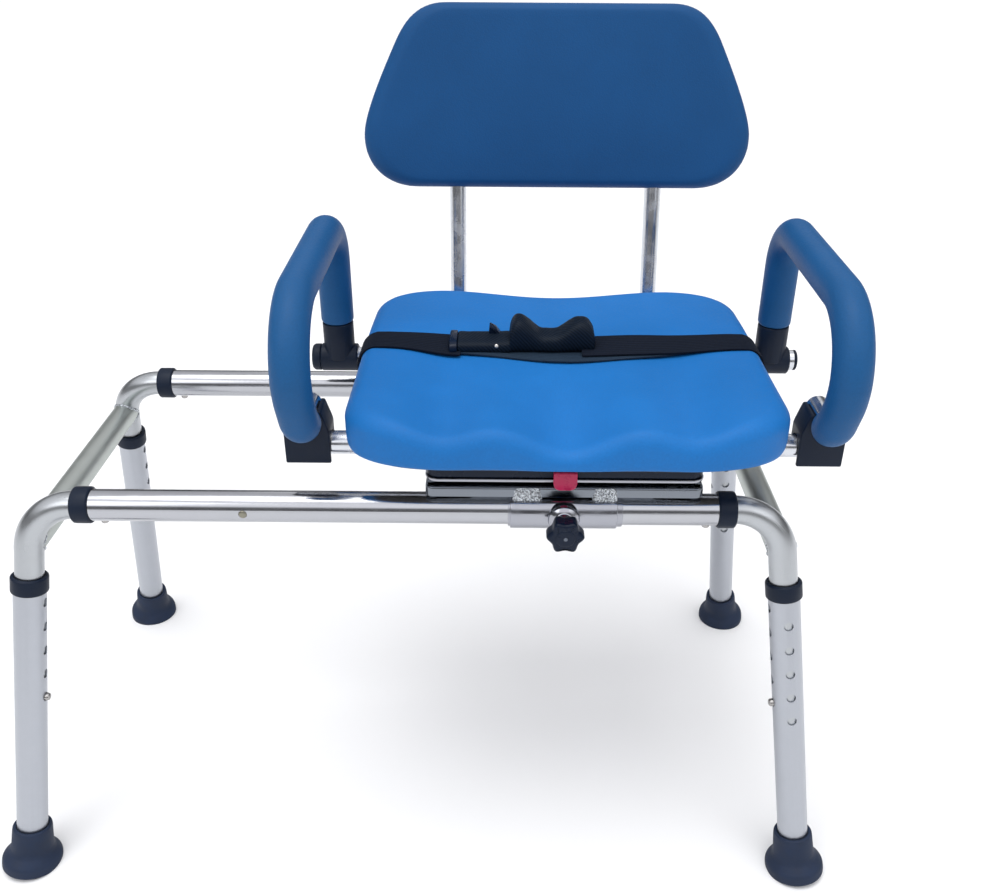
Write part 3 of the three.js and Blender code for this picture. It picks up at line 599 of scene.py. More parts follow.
def collar_form():
    half, outer, wide, narrow, chamfer = COLLAR_LENGTH / 2, COLLAR_RADIUS, 15.25, 13.9, 1.4
    outline = [(wide, -half), (outer - chamfer, -half), (outer, -half + chamfer), (outer, half - chamfer),
               (outer - chamfer, half), (narrow, half), (narrow, half - 3), (wide, half - 3)]
    return lathe(fillet(outline, 0.6, 2, closed=True), 56, closed=True)


def pin_form():
    tip, radius = BUTTON_TIP, 3.9
    outline = [(0, tip - 9), (radius, tip - 9), (radius, tip - 2.4), (radius * 0.84, tip - 0.9),
               (radius * 0.45, tip - 0.15), (0, tip)]
    return lathe(fillet(outline, 0.8, 3), 28)


def off_axis(point, path):
    """Distance from a point to a path's centre line."""
    nearest = 1e9
    for (a, _), (b, _) in zip(path, path[1:]):
        span = b - a
        t = min(1.0, max(0.0, (point - a).dot(span) / max(1e-9, span.length_squared)))
        nearest = min(nearest, (point - a - span * t).length)
    return nearest


def weld_seam(cx, cy):
    """A bead where the cross tube runs into the corner tube, lumpy along its length."""
    radius, farthest = CORNER_TUBE[0], RAIL_SIDE + 8
    path = corner_path(cx, cy)
    stations = []
    for i in range(90):
        angle = 2 * math.pi * i / 90
        across = Vector((cx * CROSS_X + radius * math.cos(angle), 0, CROSS_HEIGHT + radius * math.sin(angle)))
        reach = 100.0
        while reach < farthest and off_axis(across + Vector((0, cy * reach, 0)), path) > radius + 0.2:
            reach += 0.4
        stations.append(across + Vector((0, cy * reach, 0)) if reach < farthest else None)
    closed = None not in stations
    gap = 0 if closed else stations.index(None)
    seam = [s for s in stations[gap:] + stations[:gap] if s is not None]
    rings = []
    for i, centre in enumerate(seam):
        after = seam[(i + 1) % len(seam)] if closed else seam[min(i + 1, len(seam) - 1)]
        before = seam[i - 1] if closed else seam[max(i - 1, 0)]
        along = (after - before).normalized()
        side = along.cross(Vector((0, 1, 0))).normalized()
        up = along.cross(side)
        size = 1.7 + 0.7 * noise.noise(centre * 0.4)
        if not closed:
            size *= min(1, 0.3 + i / 5, 0.3 + (len(seam) - 1 - i) / 5)
        rings.append(circle(centre, side, up, size, 10))
    return ring_skin(rings, closed_along=closed, caps=not closed)


def build_frame():
    for name, side in (("front", -1), ("rear", 1)):
        place = shift(0, side * RAIL_SIDE, RAIL_HEIGHT) @ ALONG_X
        rail = build(f"rail_{name}_tube", tube(straight(-RAIL_HALF, RAIL_HALF), *RAIL_TUBE), "frame", "rail",
                     f"rail_{name}", place)
        drills = []
        for end in (-1, 1):
            drills.append(rod(HOLE_RADIUS, -9, 9, 20).moved(shift(15, 0, end * RAIL_PIN_X) @ ALONG_X))
            if side < 0:
                drills.append(rod(4, -8, 8, 20).moved(shift(0, -15, end * LOCK_EYE_X) @ ALONG_Y))
        carve(rail, drills)
    eye = lathe(fillet([(0, 11), (3.9, 11), (3.9, 15.3), (2.6, 16), (0, 16.2)], 0.7, 3), 28)
    for name, end in SIDES:
        build(f"lock_eye_{name}", eye, "frame", "brass", (),
              shift(end * LOCK_EYE_X, -RAIL_SIDE, RAIL_HEIGHT) @ ALONG_Y)
    for name, cx, cy in CORNERS:
        build(f"corner_{name}", tube(corner_path(cx, cy), *CORNER_TUBE), "frame", "corner",
              f"corner_tube_{name}")
        ring_x = RAIL_HALF + 0.3 + 3 - COLLAR_LENGTH / 2
        build(f"rail_ring_{name}", collar_form(), "frame", "black", f"rail_collar_{name}",
              shift(cx * ring_x, cy * RAIL_SIDE, RAIL_HEIGHT) @ turn("Y", 90 * cx))
        build(f"rail_pin_{name}", pin_form(), f"rail_pin_{name}", "zinc", f"rail_button_{name}",
              shift(cx * RAIL_PIN_X, cy * RAIL_SIDE, RAIL_HEIGHT) @ turn("X", 180))
        build(f"weld_seam_{name}", weld_seam(cx, cy), "frame", "weld")
    half = RAIL_SIDE + 5
    bar = [(0, -half), (11.6, -half), (13.3, 2.2 - half), (13.3, half - 2.2), (11.6, half), (0, half)]
    for name, cx in SIDES:
        build(f"cross_{name}", lathe(fillet(bar, 1.6, 3), 56), "frame", "cross", f"cross_tube_{name}",
              shift(cx * CROSS_X, 0, CROSS_HEIGHT) @ ALONG_Y)


# ---- Legs ----


def foot_form():
    outline = [(0, -1.5), (27.9, -1.5), (29.2, 0), (29.4, 1.8), (29.2, 8), (28.4, 10.5), (25.6, 13.8),
               (22.6, 17), (21, 20.5), (20.3, 25), (19.4, 42), (18.9, 45), (17.8, 46), (15.3, 46),
               (15.3, 13.7), (0, 13.7)]
    return lathe(fillet(outline, 1.2, 3), 72)


def build_legs():
    collar_top = LEG_COLLAR_AT - COLLAR_LENGTH / 2 + 3.3
    end = LEG_TO_FLOOR - 14
    length = end - collar_top
    for name, cx, cy in CORNERS:
        body = f"leg_{name}"
        leg = build(f"lower_leg_{name}_tube", tube(straight(-length / 2, length / 2), *RAIL_TUBE), body,
                    "leg", f"lower_leg_{name}", leg_place(cx, cy, (collar_top + end) / 2))
        drills = []
        for i in range(HOLE_COUNT):
            below = length / 2 - (LEG_COLLAR_AT - collar_top) - i * HOLE_PITCH
            drill = rod(HOLE_RADIUS, -5, 5, 24)
            drills.append(drill.moved(shift(14.6, 0, below - INNER_ROW) @ ALONG_X))
            drills.append(drill.moved(shift(0, 14.6, below - OUTER_ROW) @ ALONG_Y))
        carve(leg, drills)
        build(f"leg_ring_{name}", collar_form(), body, "black", f"leg_collar_{name}",
              leg_place(cx, cy, LEG_COLLAR_AT))
        at_floor = leg_place(cx, cy, LEG_TO_FLOOR).translation
        upright = shift(*(-at_floor)) @ leg_place(cx, cy, LEG_TO_FLOOR)
        foot = build(f"rubber_foot_{name}", foot_form().moved(upright), body, "rubber", f"foot_{name}",
                     shift(*at_floor), sharp=50)
        carve(foot, [slab(rounded_rectangle(90, 90, 5), -30, -at_floor.z, 0.01)], 50)
        build(f"leg_pin_{name}", pin_form(), f"leg_pin_{name}", "zinc", f"leg_button_{name}",
              leg_place(cx, cy, BUTTON_ALONG_LEG) @ ALONG_X)


# ---- Carriage ----


def knob_outline(radius=17, lobes=6, depth=1.6, count=144):
    points = []
    for i in range(count):
        angle = 2 * math.pi * i / count
        scallop = (0.5 - 0.5 * math.cos(lobes * angle)) ** 0.8
        reach = radius - 2 * depth * scallop
        points.append((reach * math.cos(angle), reach * math.sin(angle)))
    return points


def weld_patch(low, high, seed):
    """A rough run of weld between the front sleeve and the tray's front face, from low to high along X."""
    rings = []
    for k in range(71):
        t = k / 70
        x = low + (high - low) * t
        full = min(1, 7 * t, 7 * (1 - t)) ** 0.6
        ring = [Vector((x, -143, 420)), Vector((x, -141, 410))]
        for m in range(16):
            up = m / 15
            z = 409.5 + 13.2 * up
            proud = 145.9 + 0.9 * (1 - up) + 0.9 * math.sin(math.pi * up)
            lump = 0.9 * noise.noise(Vector((x * 0.3 + seed, z * 0.35, seed)))
            lump += (0.8 * noise.noise(Vector((x * 0.8, z * 0.8, seed)))
                     + 0.6 * noise.noise(Vector((x * 1.9, z * 1.9, seed))))
            y = -145.2 + (145.2 - proud - lump) * full
            ring.append(Vector((x, y, 410 + (z - 410) * (0.5 + 0.5 * full))))
        rings.append(ring)
    return ring_skin(rings, caps=True)


def build_carriage():
    for name, side in (("front", -1), ("rear", 1)):
        place = CARRIAGE @ shift(0, side * RAIL_SIDE, RAIL_HEIGHT)
        outline = fillet([(15.3, -51), (16.4, -51), (16.7, -50.6), (16.7, -49), (18.1, -49), (18.5, -48.2),
                          (18.5, 48.2), (18.1, 49), (16.7, 49), (16.7, 53.6), (16.4, 54), (15.3, 54)],
                         0.3, 2, closed=True)
        sleeve = lathe(outline, 56, closed=True).moved(ALONG_X)
        made = build(f"sleeve_{name}_tube", sleeve, "carriage", "chrome", f"sleeve_{name}", place)
        if side < 0:
            boss = fillet([(0, 13), (15.2, 13), (14.8, 18.5), (13.6, 21), (11, 23), (8.6, 24.2), (8.2, 26),
                           (8.2, 28.6), (7.4, 29.4), (0, 29.4)], 0.8, 3)
            carve(made, [lathe(boss, 48).moved(ALONG_Y)], operation="UNION")
            carve(made, [rod(15.3, -56, 56, 56).moved(ALONG_X)])
            carve(made, [rod(4.3, 0, 31, 24).moved(ALONG_Y)])
    for name, low, high, seed in (("left", -47, -20, 3.1), ("right", 25.5, 48.5, 8.7)):
        build(f"weld_patch_{name}", weld_patch(low, high, seed), "carriage", "weld", (), CARRIAGE, sharp=60)
    knob_place = CARRIAGE @ shift(0, -RAIL_SIDE, RAIL_HEIGHT) @ ALONG_Y
    star = slab(knob_outline(), 35, 51, 3.2, 5)
    neck = rod(9, 34, 38, 40)
    stud = rod(4, 15.5, 37, 24)
    cap = lathe(fillet([(0, 49), (9, 49), (8.6, 51.4), (6.4, 51.8), (0, 51.8)], 0.6, 3), 40)
    build("star_knob", star.plus(neck, cap), "knob", "blackgloss", "lock_knob", knob_place)
    build("knob_stud", stud, "knob", "zinc", (), knob_place)
    screw = lathe(fillet([(0, 51.4), (2, 51.4), (1.8, 52.3), (0, 52.4)], 0.4, 2), 20)
    build("knob_screw", screw, "knob", "greysteel", (), knob_place)
    build_lower_plate()


def build_lower_plate():
    top, bottom, sheet = TRAY_TOP, TRAY_BOTTOM, TRAY_SHEET
    outer = rounded_rectangle(PLATE_WIDTH, PLATE_DEPTH, TRAY_CORNER, 10)
    over = ((0.5, bottom), (0, bottom + 0.5), (0, top - 3), (0.25, top - 1.6), (0.9, top - 0.6), (2.2, top),
            (40, top))
    under = ((40, top - sheet), (sheet + 2, top - sheet), (sheet + 0.5, top - sheet - 1),
             (sheet, bottom + 0.3), (sheet - 0.4, bottom))
    skin, inner = (ring_skin([level(outer, inset, z) for inset, z in side]) for side in (over, under))
    count = len(outer)
    points = skin.points + inner.points
    faces = skin.faces + [tuple(i + len(skin.points) for i in f) for f in inner.faces]
    last = len(points) - count
    for i in range(count):
        j = (i + 1) % count
        faces.append((last + i, last + j, j, i))
    top_ring, under_ring = len(skin.points) - count, len(skin.points)
    start = len(points)
    for z in (top, top - sheet):
        points += circle(Vector((0, 0, z)), Vector((1, 0, 0)), Vector((0, 1, 0)), PIVOT_HOLE, count)
    turn_by = round(count * 0.625)
    for i in range(count):
        j = (i + 1) % count
        a, b = start + (i + turn_by) % count, start + (j + turn_by) % count
        faces += [(top_ring + i, top_ring + j, b, a), (a, b, b + count, a + count),
                  (under_ring + j, under_ring + i, a + count, b + count)]
    saddle = slab(rounded_rectangle(100, 14, 2, 3), 412.2, 421, 0.4, 2)
    whole = Form(points, faces).plus(*(saddle.moved(shift(0, side * RAIL_SIDE)) for side in (-1, 1)))
    build("lower_plate", whole, "carriage", "plate", "swivel_lower_plate", CARRIAGE)


# ---- Seat ----


def seat_outline():
    side, back, front, rear = 195, 193.6, -189.3, 148.2
    half = bezier((105, front), (162, front), (side, front + 20), (side, front + 54), 16)
    half += bezier((side, front + 54), (side, -80), (side, -20), (side, 30), 8)
    half += bezier((side, 30), (side, 52), (back + 0.5, 72), (back, rear - 55), 6)
    half += bezier((back, rear - 55), (back - 3, rear - 16.5), (back - 30, rear), (122, rear), 12)
    half.append((122, rear))
    return half + [(-x, y) for x, y in half[::-1]]


def seat_top(x, y):
    """Height of the seat's top: a shallow dish, thigh hollows and a deep dip at the front's middle."""
    front = smoothstep(-y, -60, 189)
    side = abs(x)
    dish = 8 * (0.5 + 0.5 * math.cos(math.pi * min(1, side / 128)))
    hollow = 13.5 * front * math.exp(-((side - 108) / 31) ** 2)
    dip = 21 * front ** 2.2 * math.exp(-(x / 40) ** 2)
    middle = 3 * math.exp(-((side - 90) / 60) ** 2 - ((y + 40) / 90) ** 2)
    return SEAT_TOP - dish * (1 - 0.35 * front) - hollow - dip - middle


def build_cushion():
    """The seat pad: rings from the middle of its top over its rounded edge and back under it."""
    rows, crown = 28, 0.925
    outline = resample(seat_outline(), 240)
    centre = Vector((0, -20))
    rings = []
    for k in range(1, rows + 1):
        t = (k / rows) ** 0.9 * crown
        flat = [centre.lerp(Vector(p), t) for p in outline]
        rings.append([Vector((p.x, p.y, seat_top(p.x, p.y))) for p in flat])
    crest = [centre.lerp(Vector(p), crown) for p in outline]
    edge = []
    for p in outline:
        high = seat_top(*p)
        edge.append(high - min(16 - smoothstep(-p[1], 80, 180), 0.6 * (high - SEAT_BOTTOM)))
    for k in range(1, 10):
        angle = math.pi / 2 * k / 9
        ring = []
        for a, p, low in zip(crest, outline, edge):
            flat = a.lerp(Vector(p), math.sin(angle))
            top = seat_top(flat.x, flat.y)
            ring.append(Vector((flat.x, flat.y, top - (top - low) * (1 - math.cos(angle)))))
        rings.append(ring)
    for part, pull in ((0.3, 0), (0.6, 0.1), (0.8, 0.7), (0.93, 2.2), (0.985, 4.2), (1, 7)):
        rings.append([Vector((*p, low + (SEAT_BOTTOM - low) * part))
                      for p, low in zip(offset(outline, pull), edge)])
    form = fanned_skin(rings, Vector((*centre, seat_top(*centre))), Vector((*centre, SEAT_BOTTOM)))
    pad = build("seat_pad", form, "seat", "seat", "seat_cushion", CARRIAGE, sharp=70)


def pad_outline():
    half = bezier((152, 0), (188, 0), (212, 24), (209, 58), 12)
    half += bezier((209, 58), (207, 78), (190, 115), (175, 146), 12)
    half += bezier((175, 146), (163, 172), (148, PAD_HEIGHT), (119, PAD_HEIGHT), 12)
    half.append((119, PAD_HEIGHT))
    return half + [(-x, y) for x, y in half[::-1]]


def build_backrest():
    rows, crown = 18, 0.9
    outline = resample(pad_outline(), 208)
    centre = Vector((0, 92))
    rings = []
    for k in range(1, rows + 1):
        t = k / rows * crown
        rings.append([Vector((*centre.lerp(Vector(p), t), 21 - 2.2 * t * t)) for p in outline])
    for k in range(1, 9):
        angle = math.pi / 2 * k / 8
        ring = []
        for p in outline:
            flat = centre.lerp(Vector(p), crown).lerp(Vector(p), math.sin(angle))
            ring.append(Vector((*flat, 19.2 - 17.2 * (1 - math.cos(angle)))))
        rings.append(ring)
    rings += [level(outline, inset, z)
              for inset, z in ((0, -4), (0.8, -10), (3, -15), (6.5, -19), (11, -20.8), (16, -21))]
    form = fanned_skin(rings, Vector((*centre, 21)), Vector((*centre, -21)))
    place = CARRIAGE @ shift(0, BACK_BEND_Y + (PAD_BOTTOM - SEAT_TUBE_HEIGHT) * math.tan(RECLINE), PAD_BOTTOM)
    place = place @ Matrix.Rotation(math.pi / 2 - RECLINE, 4, "X")
    pad = build("back_pad", form, "seat", "back", "backrest", place, sharp=70)


def build_seat_tubes():
    for name, y, half in (("front", FRONT_TUBE_Y, 251.5), ("rear", REAR_TUBE_Y, 261)):
        place = CARRIAGE @ shift(0, y, SEAT_TUBE_HEIGHT) @ ALONG_X
        build(f"seat_{name}_tube", tube(straight(-half, half), *SEAT_TUBE), "seat", "tubechrome",
              f"seat_tube_{name}", place)
        for side, sx in SIDES:
            plug = [(0, -12), (9.2, -12), (9.2, 0.2), (11.2, 0.2), (11.2, 2.4), (9.5, 3.4), (0, 3.6)]
            if (name, side) == ("rear", "left"):
                plug = [(0, -12), (9.2, -12), (9.2, -3), (11.2, -3), (11.2, -5.6), (14.6, -5.6), (14.4, 1),
                        (12.4, 3.4), (0, 3.8)]
            build(f"tube_plug_{name}_{side}", lathe(fillet(plug, 0.7, 3), 48), "seat", "black", (),
                  CARRIAGE @ shift(sx * half, y, SEAT_TUBE_HEIGHT) @ turn("Y", 90 * sx))
    for side, sx in SIDES:
        x, top = sx * BACK_TUBE_X, 770
        path = bent_path([(x, REAR_TUBE_Y + 2, SEAT_TUBE_HEIGHT), (x, BACK_BEND_Y, SEAT_TUBE_HEIGHT),
                          (x, BACK_BEND_Y + (top - SEAT_TUBE_HEIGHT) * math.tan(RECLINE), top)], [32])
        build(f"back_post_{side}", tube(path, *BACK_TUBE), "seat", "tubechrome", f"back_tube_{side}", CARRIAGE)


def build_plates():
    for name, low, high, size, look, node, edge in (
            ("upper_plate", 428.5, 432, (PLATE_WIDTH, PLATE_DEPTH), "chrome", "swivel_upper_plate", 1.2),
            ("black_pan", 432.3, 445, (PLATE_WIDTH - 2, PLATE_DEPTH - 2), "blackgloss", "seat_pan", 2.0)):
        form = slab(rounded_rectangle(*size, PLATE_CORNER, 10), low, high, edge, 4)
        made = build(name, form, "seat", look, node, CARRIAGE)
        if name == "black_pan":
            places = [shift(0, y, SEAT_TUBE_HEIGHT) @ ALONG_X for y in (FRONT_TUBE_Y, REAR_TUBE_Y)]
            grooves = [rod(SEAT_TUBE_BORE, -140, 140, 32).moved(place) for place in places]
            places = [shift(side * BACK_TUBE_X, REAR_TUBE_Y + 43, SEAT_TUBE_HEIGHT) @ ALONG_Y
                      for side in (-1, 1)]
            grooves += [rod(9.3, -45, 45, 32).moved(place) for place in places]
            grooves.append(rod(14, 425, 450, 32))
            for groove in grooves:
                carve(made, [groove])


def build_lever():
    outline = [(-10.8, 19), (-10.8, 6), (-9.4, 2), (-6, 0), (6, 0), (9.4, 2), (10.8, 6), (10.8, 19)]
    outline = fillet(outline, 3, 4, closed=True)
    tab = slab(outline, 0, 6.5, 1.8, 4).moved(shift(0, -146.3, 424) @ ALONG_Y)
    tongue = slab(rounded_rectangle(18, 36, 2, 3), 424.3, 427.7, 0.4, 2).moved(shift(0, -131))
    build("red_lever", tab.plus(tongue), "release", "red", "release_lever", CARRIAGE)


def build_board():
    outline = offset(resample(seat_outline(), 160), 14)
    board = slab(outline, BOARD_BOTTOM, BOARD_TOP, 0.8, 2)
    build("under_board", board, "seat", "board", "seat_board", CARRIAGE)


# ---- Arms ----


def arm_path(start_height):
    corners = [(0, REAR_TUBE_Y, start_height), (0, REAR_TUBE_Y, ARM_TOP), (0, ARM_FRONT, ARM_TOP - ARM_DROP),
               (0, ARM_FRONT, 520), (0, -138, ARM_REST), (0, -86, ARM_REST)]
    return bent_path(corners, [42, 62, 60, 24], 5)


def sleeve_skin(path, outer, inner, edge, sides=56):
    """A foam sleeve with well rounded ends."""
    framed = frames_along(path)

    def rounded_end(index, inwards):
        place, heading = path[index]
        rings = []
        for k in range(6):
            angle = math.pi / 2 * k / 5
            centre = place + heading * inwards * edge * (1 - math.cos(angle))
            rings.append(circle(centre, *framed[index][1:], outer - edge * (1 - math.sin(angle)), sides))
        return rings

    rings = rounded_end(0, 1) + [circle(*station, outer, sides) for station in framed[1:-1]]
    rings += rounded_end(-1, -1)[::-1] + [circle(*station, inner, sides) for station in framed[::-1]]
    return ring_skin(rings, closed_along=True)


def clip_form():
    """The front clip: its section across the bench, from the seat tube up to its fins."""
    right = [(20.8, 431.6), (20.8, 464), (19.6, 468.5), (15.8, 480.5), (14.4, 484.4)]
    outline = fillet(right + [(-x, z) for x, z in right[::-1]], 1.6, 3, closed=True)
    return slab(outline, -15, 15, 1.2, 3).moved(ALONG_Y)


def build_arms():
    for name, side in SIDES:
        body = f"arm_{name}"
        place = CARRIAGE @ shift(side * ARM_X)
        build(f"arm_bar_{name}", tube(arm_path(461), *SEAT_TUBE, 40), body, "tubechrome", f"arm_tube_{name}",
              place)
        covered = arm_path(POST_SLEEVE_TOP + 0.3)[:-4]
        foam = build(f"arm_sleeve_{name}", sleeve_skin(covered, FOAM_RADIUS, FOAM_BORE, 4), body, "arm",
                     f"arm_foam_{name}", place, sharp=70)
        across = tube(straight(-20, 20), 15, SEAT_TUBE_BORE, 48, 1.2).moved(ALONG_X)
        up = lathe(fillet([(0, 2), (16.5, 2), (16.5, 42), (0, 42)], 1.4, 3), 48)
        pivot = build(f"arm_tee_{name}", across, body, "black", f"arm_pivot_{name}",
                      place @ shift(0, REAR_TUBE_Y, SEAT_TUBE_HEIGHT))
        carve(pivot, [up], operation="UNION")
        carve(pivot, [rod(SEAT_TUBE_BORE, -22, 22, 48).moved(ALONG_X), rod(SEAT_TUBE_BORE, 14.7, 45, 48)])
        holder = build(f"arm_saddle_{name}", clip_form(), body, "black", f"arm_clip_{name}",
                       place @ shift(0, FRONT_TUBE_Y))
        for cutter in (
                rod(12, -30, 30, 40).moved(shift(0, 0, SEAT_TUBE_HEIGHT) @ ALONG_X),
                slab(rounded_rectangle(60, 24, 0.5, 1), 420, SEAT_TUBE_HEIGHT, 0.1, 1),
                rod(SEAT_TUBE_BORE, -20, 20, 40).moved(shift(0, 0, ARM_REST) @ ALONG_Y),
                slab(rounded_rectangle(2 * SEAT_TUBE_BORE, 60, 0.5, 1), ARM_REST, 500, 0.1, 1)):
            carve(holder, [cutter])


# ---- Belt ----


def band(line, width, thick):
    """A flat strap along a line of (x, z) points, as wide as the belt along Y."""
    half, flat = width / 2, width / 2 - 0.6
    section = [(-half, 0.25), (-flat, 0), (flat, 0), (half, 0.25),
               (half, thick - 0.25), (flat, thick), (-flat, thick), (-half, thick - 0.25)]
    rings = []
    for k, (x, z) in enumerate(line):
        a, b = Vector(line[max(0, k - 1)]), Vector(line[min(len(line) - 1, k + 1)])
        along = (b - a).normalized()
        rings.append([Vector((x - along.y * height, y, z + along.x * height)) for y, height in section])
    return ring_skin(rings, caps=True)


def strap_line(start):
    """From the buckle over the seat's side and under its board, outwards along +X."""
    flat = [(x, seat_top(x, BELT_Y) + 0.4) for x in np.arange(start, 176, 6)]
    over = []
    for k in range(1, 9):
        angle = math.pi / 2 * k / 8
        top = seat_top(180, BELT_Y) + 0.4
        over.append((178 + 19 * math.sin(angle), top - 19 * (1 - math.cos(angle))))
    down = [(197, z) for z in range(480, 456, -6)]
    under = [(x, 454.9) for x in (194, 184, 168, 150)]
    return flat + over + down + under


def bowed(form, low, high, reach):
    """The form pushed forwards between two X positions, as a slack strap lies."""
    points = []
    for p in form.points:
        t = min(1.0, max(0.0, (p.x - low) / (high - low)))
        points.append(p + Vector((0, -reach * math.sin(math.pi * t) ** 1.2, 0)))
    return Form(points, form.faces, form.uvs)


def blended(keys, x):
    """A value read off (x, value) keys, eased between them."""
    for (x0, a), (x1, b) in zip(keys, keys[1:]):
        if x <= x1:
            return a + (b - a) * smoothstep(x, x0, x1)
    return keys[-1][1]


def rolled_webbing(low, high, top_of, fronts, rears, base):
    """A bulky piece along X: its top edge is a function of X, and its front and rear edges follow keys."""
    rings = []
    steps = int((high - low) / 0.9)
    for k in range(steps + 1):
        x = low + (high - low) * k / steps
        ends = min(1.0, (0.25 + k) / 3, (0.25 + steps - k) / 3) ** 0.5
        front, rear = blended(fronts, x), blended(rears, x)
        middle, half, tall = (front + rear) / 2, (rear - front) / 2 * ends, top_of(x) * ends
        ring = []
        for i in range(32):
            angle = 2 * math.pi * i / 32
            c, s = math.cos(angle), math.sin(angle)
            y = middle + half * math.copysign(abs(c) ** 0.55, c)
            z = base + tall * (0.5 + 0.5 * math.copysign(abs(s) ** 0.6, s))
            wobble = 0.3 * noise.noise(Vector((x * 0.25, y * 0.2, z * 0.3)))
            ring.append(Vector((x, y, z + wobble)))
        rings.append(ring)
    return ring_skin(rings, caps=True)


def buckle_rise(x):
    """The buckle's height: a long body, a steep lump in its middle and a wide one at its right end."""
    rise = 13.5 + 4.5 * smoothstep(x, -66, -20)
    if -50.5 < x <= -42.5:
        rise += 18.5 * math.sqrt(1 - ((x + 42.5) / 8) ** 2)
    if -42.5 < x < -16:
        rise += 18.5 * (0.5 + 0.5 * math.cos(math.pi * (x + 42.5) / 26.5))
    if -8 < x <= 18:
        rise += 13.5 * (0.5 + 0.5 * math.cos(math.pi * (18 - x) / 26))
    if x > 18:
        rise += 13.5 - 20 * ((x - 18) / 17) ** 3
    return rise


def slung(form, side, reach, rise, low, high):
    """The strap's inner end drawn forwards, with its rear edge lifted by the buckle."""
    points = []
    for p in form.points:
        near = 1 - smoothstep(p.x, low, high)
        points.append(p + Vector((0, -side * reach * near, rise * near * (0.5 + side * p.y / BELT_WIDTH))))
    return Form(points, form.faces, form.uvs)


def build_belt():
    place = CARRIAGE @ shift(0, BELT_Y)
    right = slung(band(strap_line(20), BELT_WIDTH, 2), 1, 6, 4, 60, 175)
    over_slack = [p + Vector((0, 0, 2.2 * (1 - smoothstep(p.x, 90, 150)))) for p in right.points]
    build("belt_right", Form(over_slack, right.faces, right.uvs), "seat", "webbing", "belt_strap_right", place)
    left = slung(band(strap_line(98), BELT_WIDTH, 2), -1, 7, 5, 104, 168)
    build("belt_left", left, "seat", "webbing", "belt_strap_left", place @ turn("Z", 180))
    slack = [(x, seat_top(x, BELT_Y) + 0.3) for x in range(-100, 121, 5)]
    build("belt_slack", bowed(band(slack, 37, 1.8), -112, 130, 15), "seat", "webbingpale", (), place)
    base = seat_top(0, BELT_Y) + 0.8
    body = rolled_webbing(-103, 34.5, buckle_rise, [(-103, -20), (-50, -19), (-20, -16), (34, -15)],
                          [(-103, 17), (-60, 17), (-45, 16), (-39, 15), (-20, 17), (18, 16), (34, 17)], base)
    build("buckle", body, "seat", "buckle", "belt_buckle", place, sharp=60)
    lip = rolled_webbing(-111, -99, lambda x: 14.5, [(-111, -23), (-99, -22)], [(-111, 19), (-99, 19)],
                         base - 0.5)
    build("buckle_lip", lip, "seat", "blackgloss", (), place, sharp=60)
    tooth = slab(fillet([(-71, 11), (-58, 11), (-63.5, 18.5), (-70, 22)], 0.8, 2, closed=True), 4, 15, 0.8, 2)
    tooth = tooth.moved(shift(0, 20, base - 0.5) @ ALONG_Y)
    build("buckle_latch", tooth, "seat", "blackgloss", (), place, sharp=50)
    dot = lathe(fillet([(0, -1), (2.5, -1), (2.5, 0.6), (1.8, 1.5), (0, 1.9)], 0.5, 3), 24)
    build("buckle_rivet", dot, "seat", "zinc", (), place @ shift(-63, -17.6, base + 9.5) @ turn("X", 55))


# ---- Carried CAD nodes, camera and studio ----


def dress_cad():
    for node, look in (("swivel_bearing", "grey"), ("pivot_bolt", "zinc"), ("pivot_nut", "zinc")):
        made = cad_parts[node]
        made.data.materials.clear()
        made.data.materials.append(LOOK[look])
        step = made.modifiers.new("round", "BEVEL")
        step.width, step.segments, step.limit_method = 0.0005, 2, "ANGLE"


def build_camera():
    pitch, yaw, roll = math.radians(28.78), math.radians(-0.13), math.radians(0.37)
    ahead = Vector((math.sin(yaw) * math.cos(pitch), math.cos(yaw) * math.cos(pitch), -math.sin(pitch)))
    right = Vector((math.cos(yaw), -math.sin(yaw), 0))
    up = right.cross(ahead)
    across = right * math.cos(roll) + up * math.sin(roll)
    up = up * math.cos(roll) - right * math.sin(roll)
    data = bpy.data.cameras.new("camera")
    data.lens, data.sensor_width, data.clip_start = 36.28, 36, 0.05
    camera = add_object("camera", data)
    made = Matrix((across, up, -ahead)).transposed().to_4x4()
    made.translation = Vector((0.0901, -0.93085, 0.8938))
    camera.matrix_world = made
    bpy.context.scene.camera = camera


def area_light(name, place, target, size, energy):
    data = bpy.data.lights.new(name, "AREA")
    data.shape, data.size, data.size_y, data.energy = "RECTANGLE", *size, energy
    light = add_object(name, data)
    light.location = place
    light.rotation_euler = (Vector(target) - Vector(place)).to_track_quat("-Z", "Y").to_euler()


def sun_light(towards, strength, spread):
    data = bpy.data.lights.new("soft_sun", "SUN")
    data.energy, data.angle = strength, math.radians(spread)
    add_object("soft_sun", data).rotation_euler = Vector(towards).to_track_quat("Z", "Y").to_euler()


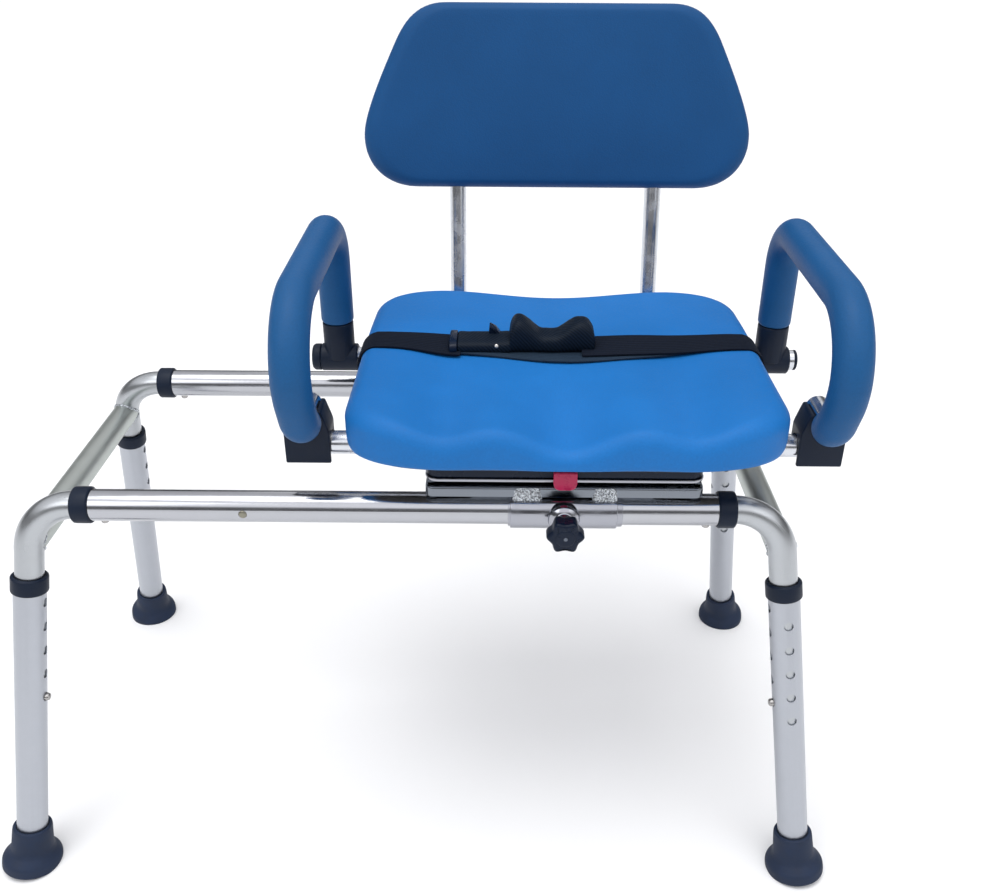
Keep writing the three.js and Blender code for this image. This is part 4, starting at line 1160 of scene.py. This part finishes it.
def build_world():
    """A soft studio gradient to light the bench, and an even pale backdrop for the camera."""
    world = bpy.data.worlds.new("studio")
    world.use_nodes = True
    bpy.context.scene.world = world
    tree = world.node_tree
    coord, split, ramp, towards_back, backdrop, chooser, ray = (
        tree.nodes.new(f"ShaderNode{kind}") for kind in
        ("TexCoord", "SeparateXYZ", "ValToRGB", "MapRange", "Background", "MixShader", "LightPath"))
    glow = tree.nodes["Background"]
    for socket, value in (("From Min", -1), ("From Max", 1), ("To Min", 1.35), ("To Max", 0.55)):
        towards_back.inputs[socket].default_value = value
    backdrop.inputs["Color"].default_value = (0.96, 0.96, 0.965, 1)
    for start, target in (
            (coord.outputs["Generated"], split.inputs["Vector"]),
            (split.outputs["Z"], ramp.inputs["Fac"]),
            (split.outputs["Y"], towards_back.inputs["Value"]),
            (ramp.outputs["Color"], glow.inputs["Color"]),
            (towards_back.outputs["Result"], glow.inputs["Strength"]),
            (ray.outputs["Is Camera Ray"], chooser.inputs[0]),
            (glow.outputs[0], chooser.inputs[1]),
            (backdrop.outputs[0], chooser.inputs[2]),
            (chooser.outputs[0], tree.nodes["World Output"].inputs["Surface"])):
        tree.links.new(start, target)
    stops = [(0.0, 0.16), (0.10, 0.13), (0.30, 0.13), (0.38, 0.55), (0.46, 1.08), (0.85, 1.08), (1.0, 0.8)]
    elements = ramp.color_ramp.elements
    for element, (position, grey) in zip(elements, (stops[0], stops[-1])):
        element.position, element.color = position, (grey, grey, grey, 1)
    for position, grey in stops[1:-1]:
        elements.new(position).color = (grey, grey, grey * 1.03, 1)


def build_studio():
    size = 30
    mesh = bpy.data.meshes.new("floor")
    mesh.from_pydata([(-size, -size, 0), (size, -size, 0), (size, size, 0), (-size, size, 0)], [],
                     [(0, 1, 2, 3)])
    paint = Paint("studio_floor", (0.93, 0.932, 0.935), 0.9, Specular_IOR_Level=0.1)
    paint.tint(paint.noise(3, 2), 0.99, 1.0)
    mesh.materials.append(paint.finish())
    add_object("floor", mesh)
    build_world()
    sun_light((-0.25, -0.3, 2.6), 0.98, 35)
    area_light("overhead", (0.1, -0.2, 2.6), (0.1, 0, 0.3), (2.2, 1.6), 9)
    area_light("key", (-1.5, -1.8, 2.0), (0.1, 0, 0.4), (1.2, 1.2), 7)
    area_light("fill", (2.0, -1.5, 1.5), (0.1, 0, 0.4), (1.4, 1.4), 4)
    area_light("rim", (0.2, 2.2, 1.7), (0.1, 0, 0.5), (2.0, 1.0), 2)
    bpy.context.scene.view_settings.view_transform = "Standard"


build_camera()
build_studio()
build_frame()
build_legs()
build_carriage()
build_plates()
build_seat_tubes()
build_board()
build_cushion()
build_backrest()
build_lever()
build_arms()
build_belt()
dress_cad()
